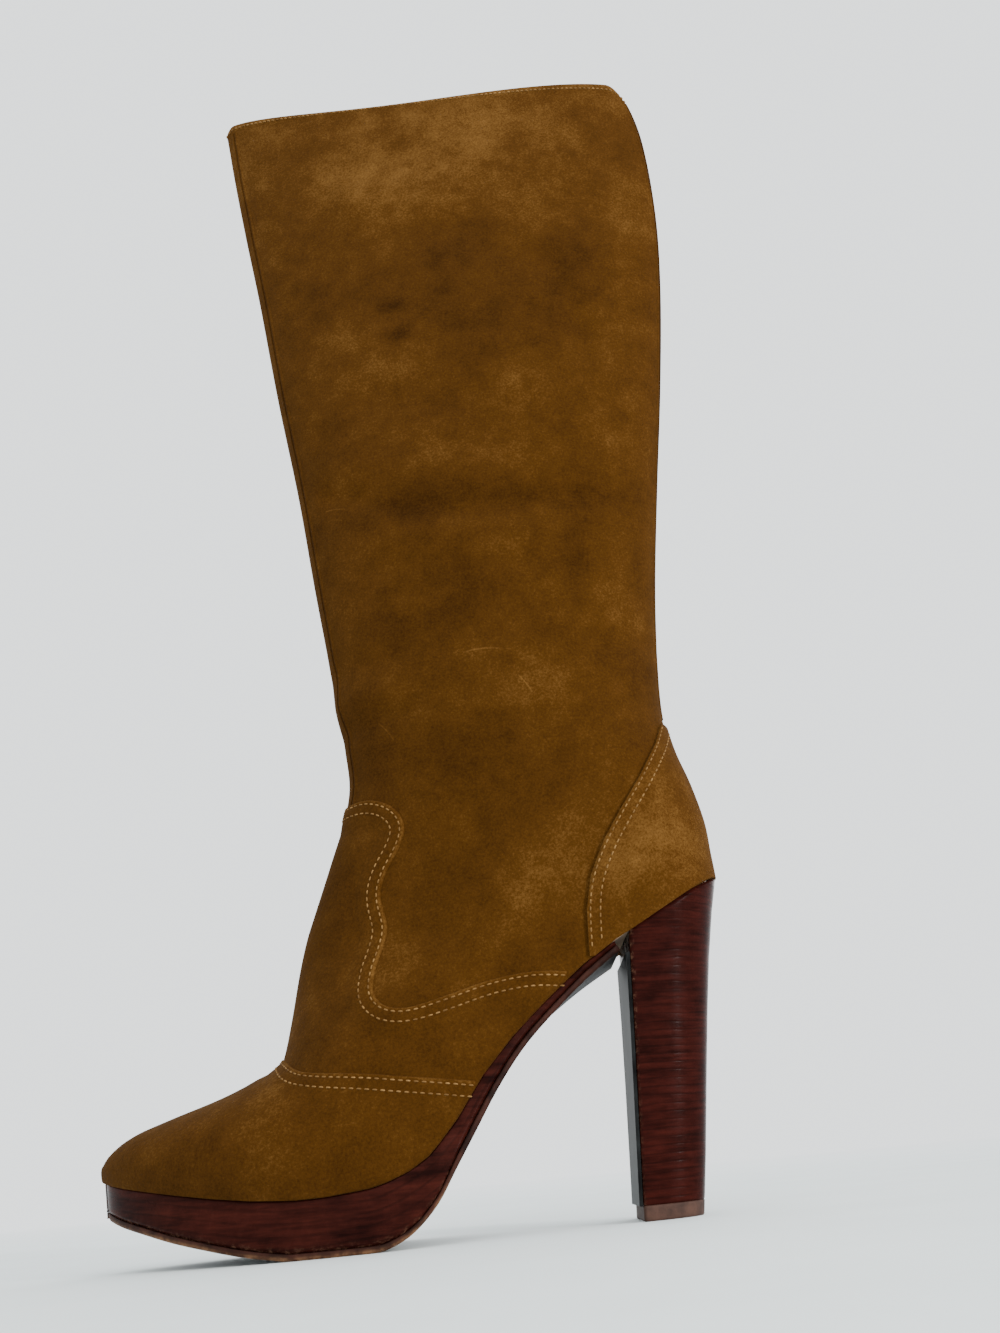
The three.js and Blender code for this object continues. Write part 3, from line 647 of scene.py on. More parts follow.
def make_counter():
    """The counter's overlay, standing proud of the upper, with its edges turned down to it."""
    front_lateral, low_lateral, low_medial, front_medial = counter_angles()
    back_z = table_at(LAST, ROWS)[:, 1]
    top = COUNTER_EDGE[0, 1]
    wanted = (back_z <= top) & (ROWS > 7) & (low_lateral - front_lateral > 0.4) & (ROWS < 20)
    part = np.linspace(0, 1, COUNTER_COLUMNS)[None, :]
    sides = []
    for start, end in ((front_lateral, low_lateral), (low_medial, front_medial)):
        angle = start[wanted, None] + part * (end - start)[wanted, None]
        points, normals = shaped(ROWS[wanted][:, None], angle)
        sides.append((points, normals, points + normals * COUNTER_OUT))
    (l_base, l_n, l_top), (m_base, m_n, m_top) = sides
    points = np.concatenate([
        l_base[:, :1] + l_n[:, :1] * 0.05, l_base[:, :1] + l_n[:, :1] * 0.85,
        l_top, l_base[:, -1:] + l_n[:, -1:] * 0.05, m_base[:, :1] + m_n[:, :1] * 0.05, m_top,
        m_base[:, -1:] + m_n[:, -1:] * 0.85, m_base[:, -1:] + m_n[:, -1:] * 0.05,
    ], 1)
    keep = np.ones((len(points) - 1, points.shape[1] - 1), bool)
    low = COUNTER_COLUMNS + 1
    cells_open = open_below(COUNTER_LIFT)[wanted[:-1]][:-1]
    keep[:, low:low + 1] &= cells_open
    keep[:, low + 1:low + 2] = False
    keep[:, low + 2:low + 3] &= cells_open
    # The tip's top edge, turned down to the upper.
    cap = np.concatenate([l_base[0, :1], l_base[0, :1], l_base[0], l_base[0, -1:], m_base[0, :1], m_base[0],
                          m_base[0, -1:], m_base[0, -1:]])
    points = np.concatenate([cap[None], points])
    keep = np.concatenate([keep[:1], keep])
    flat = points.reshape(-1, 3)
    piece = add_object("counter_suede", flat, grid_faces(*points.shape[:2], keep=keep),
                       {"tone_shade_and_sheen": tone_shade_and_sheen(flat) + 0.25, "wear": np.zeros(len(flat))})
    return clean(piece)


# ---- Beads laid on a surface: stitches and zip teeth ----

def beads(name, centres, tangents, normals, length, radius, dip):
    """Many small capsules as one piece, each along its tangent with its ends dipping into the surface."""
    along = np.array([-0.5, -0.3, 0, 0.3, 0.5])
    thick = np.array([0.35, 0.9, 1, 0.9, 0.35])
    sink = np.array([1, 0.15, 0, 0.15, 1])
    turn = np.arange(BEAD_SIDES) * 2 * math.pi / BEAD_SIDES
    tangents = unit(tangents)
    across = unit(np.cross(tangents, normals))
    normals = np.cross(across, tangents)
    a, r, d = (v.repeat(BEAD_SIDES) for v in (along * length, thick * radius, sink * dip))
    side = r * np.tile(np.cos(turn), 5)
    rise = r * np.tile(np.sin(turn), 5) - d
    points = (centres[:, None] + tangents[:, None] * a[None, :, None]
              + across[:, None] * side[None, :, None] + normals[:, None] * rise[None, :, None])
    one = [list(f) for f in grid_faces(5, BEAD_SIDES, wrap=True)]
    one += [list(range(BEAD_SIDES)), [5 * BEAD_SIDES - 1 - k for k in range(BEAD_SIDES)]]
    step = 5 * BEAD_SIDES
    faces = [[v + k * step for v in f] for k in range(len(centres)) for f in one]
    return add_object(name, points.reshape(-1, 3), faces)


def tangents_of(points):
    return unit(np.gradient(points, axis=0))


def offset_path(tree, path, distance):
    """A path on a surface moved across it; positive is to the right of its direction, seen from outside."""
    points, normals = settle(tree, path)
    across = np.cross(tangents_of(points), normals)
    moved, normals = settle(tree, points + across * distance)
    return moved, normals


def stitch_row(tree, path, pitch=STITCH_PITCH, lift=STITCH_LIFT):
    """Centres, tangents and normals of the stitches of a row along a path."""
    points = resample(path, pitch)
    points, normals = settle(tree, (points[:-1] + points[1:]) / 2)
    return points + normals * lift, tangents_of(points), normals


def stitches(name, rows, pitch=STITCH_PITCH, radius=STITCH_RADIUS):
    centres, tangents, normals = (np.concatenate([row[k] for row in rows]) for k in range(3))
    return beads(name, centres, tangents, normals, pitch * 0.74, radius, radius * 1.2)


# ---- Seams ----

# Cut edges of the overlays in side view, from the front of the boot backward.
VAMP_SEAM = np.array([[129, 61.5], [123.5, 57], [117, 55], [100, 53], [86, 51], [68, 48.5], [60, 47.5]])
WESTERN_SEAM = np.array([
    [111, 151], [103, 151], [95.5, 148], [90.5, 142.5], [89.5, 136.5], [92, 129.5], [96, 122], [97.5, 114],
    [95, 103], [96, 96], [98.5, 87], [98.5, 79.5], [94, 74.5], [86, 73.5], [74, 76.5], [60, 80.5], [46, 82.5],
    [34, 82],
])
# Height over the skin by distance across a closed seam, whose two edges meet in a groove.
CLOSED_SEAM = np.array([
    [-2.2, -0.25], [-1.1, 0.3], [-0.35, 0.36], [0, -0.15], [0.35, 0.36], [1.1, 0.3], [2.2, -0.25],
])
# painted shade in the grooves of the closed seams and the dart
GROOVE_SHADE = 1.6  # how much darker a closed seam's groove is
SEAM_STEP = 1.2  # between the points along a closed seam
CLOSED_SEAMS = (("front_seam", 14, 149), ("back_seam", 172, 180))  # name, section angle and lowest z
# Pale strokes on the outer side, from one side-view point to another, and their height across.
SCUFFS = (
    (121, 273, 113, 272), (120, 268, 114, 267), (66, 204, 54, 204.5), (99, 180, 93, 172), (47, 193, 42, 186),
)
SCUFF_PROFILE = np.array([[-0.4, -0.06], [-0.2, 0.05], [0.2, 0.05], [0.4, -0.06]])
# Height of an overlay's face over the skin, by distance in from its cut edge.
OVERLAY = np.array([
    [-0.45, -0.3], [-0.1, 0.15], [0.1, 0.55], [0.5, 0.72], [1.3, 0.55], [2.2, 0.8], [3.9, 0.8], [4.8, 0.55],
    [6, 0.5], [9, 0.15], [12, -0.3],
])
STRIP_FLOOR_Z = 120  # below this height a strip is kept above the feather line


def side_path(line, side, inset=0.8):
    """A side-view line laid on the outer or inner side of the skin, down to the feather line."""
    smooth = table_at(line.astype(float), np.linspace(0, len(line) - 1, len(line) * 8))
    points = []
    for x, z in smooth:
        hit = on_side(SKIN, x, z, side)
        if hit is None:
            continue
        if hit.z < feather_z(hit.x, hit.y) + inset:
            break
        points.append(tuple(hit))
    return np.array(points)


def wrapped_path(line):
    """A line on the inner side, over the front and down the outer side, in one run."""
    return resample(np.concatenate([side_path(line, MEDIAL)[::-1], side_path(line, LATERAL)]), 0.9)


def raised_strip(name, path, profile, groove=0.0):
    """A strip of suede along a path. The profile gives its height at each distance across the path, and
    groove is how much darker its middle is painted, as painted shade in the seam's groove."""
    rows = []
    for distance, height in profile:
        points, normals = offset_path(SKIN, path, distance)
        rows.append(points + normals * height)
    points = np.array(rows)
    floor = feather_z(points[..., 0], points[..., 1], 0.2)
    points[..., 2] = np.maximum(points[..., 2], np.where(points[..., 2] < STRIP_FLOOR_Z, floor, 0))
    flat = points.reshape(-1, 3)
    wear = np.repeat(np.exp(-((profile[:, 0] - 0.3) / 0.5) ** 2), points.shape[1])
    # painted shade darkens the groove's middle, on top of the patches
    shade = tone_shade_and_sheen(flat) - groove * np.repeat(np.exp(-(profile[:, 0] / 0.4) ** 2), points.shape[1])
    return add_object(name, flat, grid_faces(*points.shape[:2]), {"tone_shade_and_sheen": shade, "wear": wear})


def overlay_stitch_rows(path):
    """Two rows of stitches beside an overlay's cut edge."""
    return [stitch_row(SKIN, offset_path(SKIN, path, distance)[0], lift=OVERLAY_STITCH_LIFT)
            for distance in (EDGE_MARGIN, EDGE_MARGIN + ROW_SPACING)]


def make_seams():
    pieces = []
    for name, line in (("vamp_seam", VAMP_SEAM), ("western_seam", WESTERN_SEAM)):
        path = wrapped_path(line)
        pieces.append(raised_strip(name, path, OVERLAY))
        pieces.append(stitches(name + "_stitches", overlay_stitch_rows(path)))
    for name, angle, last_z in CLOSED_SEAMS:
        path = last_surface(ROWS, np.full(len(ROWS), float(angle)))
        path = path[(path[:, 2] > last_z) & (ROWS > 0.25) & (ROWS < 14)]
        pieces.append(raised_strip(name, resample(path, SEAM_STEP), CLOSED_SEAM, GROOVE_SHADE))
    return pieces


def make_scuffs():
    """A few short pale strokes rubbed into the outer side's nap."""
    pieces = []
    for k, (x0, z0, x1, z1) in enumerate(SCUFFS):
        line = np.linspace([x0, z0], [x1, z1], 12)
        line[:, 1] += 0.5 * np.sin(np.linspace(0, math.pi, 12))
        path = seen_path(SKIN, line, LATERAL)
        pieces.append(raised_strip(f"scuff_{k + 1}", path, SCUFF_PROFILE))
    return pieces


def make_counter_stitches(counter):
    tree = BVHTree.FromPolygons([tuple(v.co / MM) for v in counter.data.vertices],
                                [tuple(p.vertices) for p in counter.data.polygons])
    rows = []
    smooth = table_at(COUNTER_EDGE.astype(float), np.linspace(0.25, len(COUNTER_EDGE) - 1, 60))
    for side in (LATERAL, MEDIAL):
        for distance in (EDGE_MARGIN, EDGE_MARGIN + ROW_SPACING):
            run = np.gradient(smooth, axis=0)
            shifted = smooth + unit(np.stack([run[:, 1], -run[:, 0]], -1)) * distance
            path = seen_path(tree, shifted, side)
            path = path[path[:, 2] > feather_z(path[:, 0], path[:, 1]) + 2]
            rows.append(stitch_row(tree, path))
    return stitches("counter_stitches", rows)


def make_collar_stitches():
    """One fine row just under the collar's fold, from one side of the zip to the other."""
    rows = []
    for angle in boot_angles(120):
        row = last_surface(np.full(angle.shape[1], COLLAR_STITCH_ROW), angle[0])
        path, _ = settle(SKIN, row)
        rows.append(stitch_row(SKIN, path, COLLAR_STITCH_PITCH, COLLAR_STITCH_LIFT))
    return stitches("collar_stitches", rows, COLLAR_STITCH_PITCH, COLLAR_STITCH_RADIUS)


# ---- Zip ----

TAPE_UNDER_SUEDE = 1.3  # how far the tape reaches under the slot's edge
TAPE_THICKNESS = 0.7
SLIDER_HALF = 5.6  # of the slider's height, where the coil is hidden
COIL_DEPTH = TAPE_RECESS - 0.6
BAR_LIFT = 0.1


def zip_point(z, offset, depth=0.0):
    """A point beside the zip's middle line by offset toward the toe, under the suede's surface by depth."""
    slope = (zip_x(z + 2) - zip_x(z - 2)) / 4
    lean = math.hypot(1, slope)
    x = zip_x(z) + offset / lean
    back_x, back_z, _, front_x, front_z = LAST[0, :5]
    collar_z = np.interp(x, [back_x, front_x], [back_z, front_z])
    start = Vector((x, -200, min(z - offset * slope / lean, collar_z - COLLAR_DIP - 0.6)))
    hit, normal, _, _ = SKIN.ray_cast(start, Vector((0, 1, 0)))
    return np.array(hit) - np.array(normal) * depth, np.array(normal)


def split_half(z):
    return np.interp(z, ZIP_SPLIT[:, 1], ZIP_SPLIT[:, 2]) if z > ZIP_SPLIT[0, 1] else 0.0


def make_tape():
    """The two tapes in the slot, edge to edge up to the slider and parted above it."""
    heights = np.arange(ZIP_END_Z - 1, 495.6, 2.0)
    halves = []
    for side in (-1, 1):
        rows = []
        for z in heights:
            inner = split_half(z) * side
            outer = (float(zip_half(max(z, ZIP_END_Z))) + TAPE_UNDER_SUEDE) * side
            rows.append([zip_point(z, inner + (outer - inner) * t, TAPE_RECESS)[0]
                         for t in np.linspace(0, 1, 6)])
        halves.append(np.array(rows))
    points = np.concatenate([h.reshape(-1, 3) for h in halves])
    rows, columns = halves[0].shape[:2]
    faces = [*grid_faces(rows, columns), *grid_faces(rows, columns, start=rows * columns)[:, ::-1]]
    along = np.tile(np.repeat(heights, columns), 2)
    across = np.tile(np.tile(np.arange(columns), rows), 2)
    tape = clean(add_object("zip_tapes", points, faces, {"along": along, "across": across}), 0.005)
    modifier = tape.modifiers.new("thickness", "SOLIDIFY")
    modifier.thickness = TAPE_THICKNESS * MM
    modifier.offset = 0
    return tape


def make_teeth():
    """The coil's turns: one by one across the middle, and in two runs above the slider."""
    centres, tangents, normals = [], [], []
    for k, z in enumerate(np.arange(ZIP_END_Z + 1, 494.5, TOOTH_PITCH / 2)):
        side = 1 if k % 2 else -1
        if abs(z - SLIDER_Z) < SLIDER_HALF:
            continue
        middle, normal = zip_point(z, side * (split_half(z) + 0.85), COIL_DEPTH)
        end, _ = zip_point(z, side * (split_half(z) + 2.4), COIL_DEPTH)
        centres.append(middle)
        tangents.append(end - middle)
        normals.append(normal)
    return beads("zip_coil", np.array(centres), np.array(tangents), np.array(normals), 3.1, 0.52, 0.5)


def make_zip_stitches():
    """Two rows down each side of the slot, and two bars across its foot."""
    rows = []
    heights = np.arange(88.0, 494.0, 2.0)
    for side in (-1, 1):
        for distance in (1.5, 4.9):
            path = [zip_point(z, side * (float(zip_half(max(z, ZIP_END_Z + 0.1))) + distance))[0]
                    for z in heights]
            rows.append(stitch_row(SKIN, np.array(path)))
    for z in (87.0, 90.2):
        path = np.array([zip_point(z, offset)[0] for offset in np.linspace(-9, 9, 13)])
        rows.append(stitch_row(SKIN, offset_path(SKIN, path, 0)[0], lift=BAR_LIFT))
    return stitches("zip_stitches", rows)


def make_dart():
    """The short slit at the collar behind the zip, with a V of stitches round it."""
    foot = np.array([58.0, 466.0])
    mouth = np.array([62.0, 494.0])
    rows = []
    for spread in (-4.0, 4.0):
        line = np.linspace(foot - [0, 2.5], mouth + [spread, 0], 20)
        rows.append(stitch_row(SKIN, seen_path(SKIN, line, MEDIAL)))
    slit = resample(seen_path(SKIN, np.linspace(foot, mouth, 30), MEDIAL), SEAM_STEP)
    ridge = raised_strip("dart_seam", slit, CLOSED_SEAM * [0.6, 0.8], GROOVE_SHADE)
    return ridge, stitches("dart_stitches", rows)


# ---- Soles and heel ----

SOLE_STEPS = 4  # sections made from each row of the sole's table


def sole_sections():
    """The sole's rows, finely spaced, with two more that round off the toe."""
    rows = table_at(SOLE, np.linspace(0, len(SOLE) - 1, (len(SOLE) - 1) * SOLE_STEPS + 1))
    tip = rows[-1]
    middle, half = (tip[4] - tip[5]) / 2, (tip[4] + tip[5]) / 2
    for part, forward in ((0.8, 0.5), (0.45, 0.9)):
        closing = tip.copy()
        closing[[0, 2]] += forward
        closing[4:] = [middle + half * part, half * part - middle]
        rows = np.concatenate([rows, closing[None]])
    rows[:, 3] = np.maximum(rows[:, 3], 0)
    return rows


def sole_piece(name, low, high, rounding=0.45):
    """A layer of the sole between two heights over the tread. With high None it reaches up to the upper."""
    rings, depths, walls = [], [], []
    for row in sole_sections():
        top, tread = np.array([row[0], 0, row[1]]), np.array([row[2], 0, row[3]])
        height = np.linalg.norm(top - tread)
        up = (top - tread) / height
        ceiling = height if high is None else high
        wall = np.array([low, low + rounding * 0.4, low + rounding, *np.linspace(low, ceiling, 8)[1:-1],
                         ceiling - rounding * 0.5, ceiling])
        wall = np.sort(wall)
        inset = rounding * (1 - smoothstep(0, rounding, wall - low)) + 0.3 * smoothstep(
            ceiling - 0.4, ceiling, wall)
        narrower = SOLE_DRAFT * (1 - wall / height) + inset
        lateral = tread + up * wall[:, None] + np.array([0, 1, 0]) * (row[4] - narrower)[:, None]
        medial = tread + up * wall[:, None] - np.array([0, 1, 0]) * (row[5] - narrower)[:, None]
        share = np.linspace(0, 1, 9)[1:-1, None]
        bottom = lateral[0] + (medial[0] - lateral[0]) * share
        upper = medial[-1] + (lateral[-1] - medial[-1]) * share
        rings.append(np.concatenate([lateral[::-1], bottom, medial, upper]))
        from_top = ceiling - wall
        inside = np.zeros(len(share))
        depths.append(np.concatenate([from_top[::-1], inside + ceiling - low, from_top, inside]))
        walls.append(np.concatenate([wall * 0 + 1, inside, wall * 0 + 1, inside]))
    rings = skewed(np.array(rings))
    depths = np.array(depths)
    wear = np.exp(-((depths.max(1, keepdims=True) - depths) / WORN_EDGE) ** 2)
    level = smoothstep(30, 8, rings[..., 2])  # 1 on the platform, 0 up the waist
    marks = {"depth": depths, "wall": np.array(walls), "wear": wear * level, "level": level}
    return solid_loft(name, rings, {key: value.ravel() for key, value in marks.items()})


def heel_piece(name, low, high, rounding=0.4):
    """The heel between two heights. With high None every upright line of it runs up to the seat."""
    angle = np.radians(np.linspace(-90, 90, 61))
    radius = super_radius(angle, HEEL_BLUNTNESS)
    shares = np.concatenate([[0, 0.003, 0.008], np.linspace(0.02, 1, 40)]) if high is None else np.array(
        [0, 0.08, 0.2, 0.5, 0.8, 0.93, 1.0])
    breast = np.linspace(1, -1, 12)[1:-1]
    c = np.concatenate([radius * np.cos(angle), np.zeros(len(breast))])
    s = np.concatenate([radius * np.sin(angle), breast])

    def ring_at(z):
        """One level ring; z holds the height of each of its points."""
        row = np.array([[np.interp(value, HEEL[:, 0], HEEL[:, k]) for k in (1, 2, 3)] for value in z])
        x = row[:, 0] - (row[:, 0] - row[:, 1]) * c
        return np.stack([x, row[:, 2] * s, z], -1)

    count = len(angle) + len(breast)
    ends = ring_at(np.full(count, 100.0))
    ceiling = feather_z(ends[:, 0], ends[:, 1]) + 0.7 if high is None else np.full(count, high)
    rings = []
    for share in shares:
        ring = ring_at(low + (ceiling - low) * share)
        near = np.minimum((ring[:, 2] - low) / rounding, (ceiling - ring[:, 2]) / rounding if high else 9)
        shrink = (rounding * (1 - np.sqrt(np.clip(1 - (1 - np.clip(near, 0, 1)) ** 2, 0, 1))) * 0.6)[:, None]
        middle = np.array([0.5 * (ring[:, 0].min() + ring[:, 0].max()), 0, 0])
        inward = (middle - ring) * [1, 1, 0]
        rings.append(ring + unit(inward) * shrink)
    rings = np.array(rings)
    corner = (np.abs(c) < 0.03) * np.abs(s) ** 8
    wear = corner * (0.35 + 0.65 * smoothstep(45, 70, rings[..., 2]))
    return solid_loft(name, rings, {"depth": rings[..., 2].ravel(), "wear": wear.ravel()})


# ---- Materials ----

class Shader:
    """A material's node tree with short ways to add what these materials use."""

    def __init__(self, name, roughness, metallic=0.0):
        self.material = bpy.data.materials.new(name)
        self.material.use_nodes = True
        self.tree = self.material.node_tree
        self.shader = self.tree.nodes["Principled BSDF"]
        self.shader.inputs["Roughness"].default_value = roughness
        self.shader.inputs["Metallic"].default_value = metallic
        self.place = self.node("ShaderNodeTexCoord").outputs["Object"]

    def node(self, kind, **settings):
        node = self.tree.nodes.new(kind)
        for key, value in settings.items():
            setattr(node, key, value)
        return node

    def join(self, source, socket):
        self.tree.links.new(source, socket)

    def set(self, name, value):
        """Sets or links an input of the main shader."""
        socket = self.shader.inputs[name]
        if isinstance(value, bpy.types.NodeSocket):
            self.join(value, socket)
        else:
            socket.default_value = value

    def stretched(self, x, y, z):
        """Object coordinates scaled along each axis."""
        node = self.node("ShaderNodeMapping")
        node.inputs["Scale"].default_value = (x, y, z)
        self.join(self.place, node.inputs["Vector"])
        return node.outputs["Vector"]

    def noise(self, size, detail=3.0, rough=0.55, vector=None):
        """Noise whose blots are about size millimetres across."""
        node = self.node("ShaderNodeTexNoise")
        node.inputs["Scale"].default_value = 1 / (size * MM)
        node.inputs["Detail"].default_value = detail
        node.inputs["Roughness"].default_value = rough
        self.join(vector or self.place, node.inputs["Vector"])
        return node.outputs["Fac"]

    def ramp(self, value, *stops):
        """A colour ramp; each stop is a position with a grey level or a colour."""
        node = self.node("ShaderNodeValToRGB")
        elements = node.color_ramp.elements
        while len(elements) < len(stops):
            elements.new(0.5)
        for element, (position, colour) in zip(elements, stops):
            element.position = position
            element.color = (*colour, 1) if isinstance(colour, tuple) else (*[colour] * 3, 1)
        self.join(value, node.inputs["Fac"])
        return node.outputs["Color"]

    def math(self, operation, a, b=0.0):
        node = self.node("ShaderNodeMath", operation=operation)
        for socket, value in zip(node.inputs, (a, b)):
            if isinstance(value, bpy.types.NodeSocket):
                self.join(value, socket)
            else:
                socket.default_value = value
        return node.outputs["Value"]

    def mix(self, share, a, b):
        """Colour a where share is 0 and colour b where it is 1."""
        node = self.node("ShaderNodeMix", data_type="RGBA")
        for socket, value in zip((node.inputs["Factor"], node.inputs[6], node.inputs[7]), (share, a, b)):
            if isinstance(value, bpy.types.NodeSocket):
                self.join(value, socket)
            else:
                socket.default_value = (*value, 1) if isinstance(value, tuple) else value
        return node.outputs[2]

    def attribute(self, name):
        return self.node("ShaderNodeAttribute", attribute_name=name).outputs["Fac"]

    def bump(self, height, depth):
        """Adds relief whose full height is depth millimetres, over any relief set before."""
        node = self.node("ShaderNodeBump")
        node.inputs["Strength"].default_value = 1.0
        node.inputs["Distance"].default_value = depth * MM
        self.join(height, node.inputs["Height"])
        normal = self.shader.inputs["Normal"]
        if normal.links:
            self.join(normal.links[0].from_socket, node.inputs["Normal"])
        self.join(node.outputs["Normal"], normal)


SUEDE_DARK = (0.019, 0.0066, 0.0007)
SUEDE_MID = (0.050, 0.0195, 0.0028)
SUEDE_LIGHT = (0.148, 0.073, 0.019)


def suede():
    """Brown suede: cloudy colour, brushed streaks, painted shade and sheen carried on its pieces' points,
    lighter where it is worn, and a fine raised nap.
    """
    m = Shader("brown_suede", 0.95)
    clouds = m.noise(38, 4, 0.6)
    blots = m.noise(9, 4, 0.65)
    nap = m.noise(0.9, 4, 0.8)
    level = m.math("ADD", m.math("MULTIPLY", clouds, 0.5), m.math("MULTIPLY", blots, 0.3))
    level = m.math("ADD", level, m.math("MULTIPLY", m.math("SUBTRACT", nap, 0.42), 0.66))
    # the suede's own blots, with painted shade in creases and seam grooves and painted sheen, carried on the
    # pieces' points
    level = m.math("ADD", level, m.math("MULTIPLY", m.attribute("tone_shade_and_sheen"), 0.26))
    level = m.math("ADD", level, m.math("MULTIPLY", m.attribute("wear"), 0.14))
    m.set("Base Color", m.ramp(level, (0.22, SUEDE_DARK), (0.52, SUEDE_MID), (0.9, SUEDE_LIGHT)))
    m.set("Sheen Weight", 0.03)
    m.set("Sheen Roughness", 0.5)
    m.set("Sheen Tint", (0.75, 0.45, 0.15, 1))
    m.set("Specular IOR Level", 0.03)
    m.bump(m.noise(6, 3), 0.25)
    m.bump(m.noise(0.7, 3, 0.7), 0.16)
    return m.material


def lining_leather():
    m = Shader("lining_leather", 0.6)
    level = m.math("ADD", m.math("MULTIPLY", m.noise(30, 3), 0.7), m.math("MULTIPLY", m.noise(2, 3), 0.3))
    m.set("Base Color", m.ramp(level, (0.3, (0.42, 0.28, 0.19)), (0.75, (0.62, 0.46, 0.34))))
    m.bump(m.noise(1.2, 4), 0.12)
    return m.material


def thread():
    m = Shader("tan_thread", 0.75)
    dark, light = (0.10, 0.050, 0.014), (0.21, 0.115, 0.038)
    m.set("Base Color", m.ramp(m.noise(3.4, 2), (0.35, dark), (0.65, light)))
    m.set("Specular IOR Level", 0.1)
    m.bump(m.noise(0.35, 2), 0.06)
    return m.material


def stacked_leather(name, layer, streak, dark, light):
    """Glossy stacked leather: one layer's thickness and a streak's length are in mm."""
    m = Shader(name, 0.32)
    depth = m.attribute("depth")
    wander = m.math("MULTIPLY", m.noise(18, 2), 1.6)
    turns = m.math("DIVIDE", m.math("ADD", depth, wander), layer)
    part = m.math("FRACT", turns)
    line = m.ramp(part, (0.0, 1.0), (0.08, 0.85), (0.2, 0.0), (0.88, 0.0), (1.0, 1.0))
    line = m.math("MULTIPLY", line, m.ramp(m.noise(12, 2), (0.36, 0.4), (0.6, 1.0)))
    streaks = m.noise(streak, 4, 0.65, m.stretched(1, 1, 9))
    blots = m.noise(10, 4, 0.6)
    shade = m.math("ADD", m.math("MULTIPLY", streaks, 0.65), m.math("MULTIPLY", blots, 0.35))
    colour = m.ramp(shade, (0.36, dark), (0.66, light))
    colour = m.mix(m.math("MULTIPLY", line, 0.45), colour, (0.006, 0.002, 0.0015))
    scuff = m.math("MULTIPLY", m.attribute("wear"), m.ramp(m.noise(1.8, 4, 0.8), (0.5, 0.0), (0.66, 1.0)))
    m.set("Base Color", m.mix(scuff, colour, (0.13, 0.065, 0.04)))
    m.set("Roughness", m.ramp(m.noise(5, 4, 0.7), (0.4, 0.2), (0.7, 0.36)))
    m.set("Specular IOR Level", 0.06)
    m.set("IOR", 1.25)
    m.bump(m.math("MULTIPLY", line, -1), 0.035)
    m.bump(streaks, 0.03)
    return m.material


def outsole_leather():
    """A dark stained edge, rubbed tan along its foot, and black rubber underneath."""
    m = Shader("outsole", 0.6)
    edge = m.ramp(m.noise(6, 3), (0.35, (0.010, 0.004, 0.003)), (0.65, (0.035, 0.012, 0.008)))
    tan = m.ramp(m.noise(5, 4, 0.7), (0.4, (0.05, 0.022, 0.012)), (0.6, (0.20, 0.10, 0.05)))
    under = m.ramp(m.noise(12, 4), (0.35, (0.008, 0.0075, 0.0075)), (0.7, (0.03, 0.027, 0.025)))
    edge = m.mix(m.math("MULTIPLY", m.attribute("wear"), m.attribute("level")), edge, tan)
    m.set("Base Color", m.mix(m.attribute("wall"), under, edge))
    m.set("Specular IOR Level", 0.2)
    m.set("IOR", 1.25)
    m.bump(m.noise(0.9, 3), 0.1)
    return m.material


def plain(name, size, dark, light, roughness, relief, metallic=0.0, coat=0.0, ior=1.5):
    """A surface with mottled colour and fine relief of the given sizes in mm."""
    m = Shader(name, roughness, metallic)
    m.set("Base Color", m.ramp(m.noise(size, 4, 0.6), (0.35, dark), (0.68, light)))
    m.set("Coat Weight", coat)
    m.set("IOR", ior)
    m.bump(m.noise(size * 0.15, 3), relief)
    return m.material


RIB_WIDTH = 0.9
WAVE_SCALE = 3.2 / 20  # the wave texture's scale for ribs one unit wide


def tape_cloth():
    """Woven tape with fine ribs across it."""
    m = Shader("zip_cloth", 0.85)
    ribs = m.node("ShaderNodeTexWave", bands_direction="Z")
    ribs.inputs["Scale"].default_value = WAVE_SCALE / (RIB_WIDTH * MM)
    m.join(m.place, ribs.inputs["Vector"])
    weave = ribs.outputs["Fac"]
    level = m.math("ADD", m.math("MULTIPLY", weave, 0.3), m.math("MULTIPLY", m.noise(4, 3), 0.7))
    m.set("Base Color", m.ramp(level, (0.3, (0.035, 0.015, 0.006)), (0.7, (0.085, 0.038, 0.015))))
    m.bump(weave, 0.08)
    return m.material


# ---- The scene ----

def paint(piece, material):
    piece.data.materials.clear()
    piece.data.materials.append(material)


def dressed(piece, material):
    """The piece in its material, riding on the boot's body."""
    paint(piece, material)
    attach(piece, "boot")
    return piece


def build_boot():
    leather = suede()
    cotton = thread()
    upper = dressed(make_upper(), leather)
    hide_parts("upper")
    dressed(make_lining(), lining_leather())
    counter = dressed(make_counter(), leather)
    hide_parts("counter")
    dressed(make_counter_stitches(counter), cotton)
    for piece in make_seams():
        dressed(piece, cotton if piece.name.endswith("stitches") else leather)
    for piece in make_scuffs():
        dressed(piece, leather)
    dressed(make_collar_stitches(), cotton)
    ridge, dart = make_dart()
    dressed(ridge, leather)
    dressed(dart, cotton)


def build_zip():
    tape = dressed(make_tape(), tape_cloth())
    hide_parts("zip_tape")
    nylon = plain("zip_nylon", 3, (0.05, 0.02, 0.008), (0.12, 0.055, 0.022), 0.42, 0.02, coat=0.2)
    dressed(make_teeth(), nylon)
    dressed(make_zip_stitches(), thread())
    brass = plain("antique_brass", 2.5, (0.34, 0.25, 0.12), (0.62, 0.52, 0.3), 0.3, 0.02, metallic=1.0)
    for name in ("zip_slider", "zip_pull"):
        node = bpy.data.objects[name]
        paint(node, brass)
        bevel(node, 0.22, 30, 2)


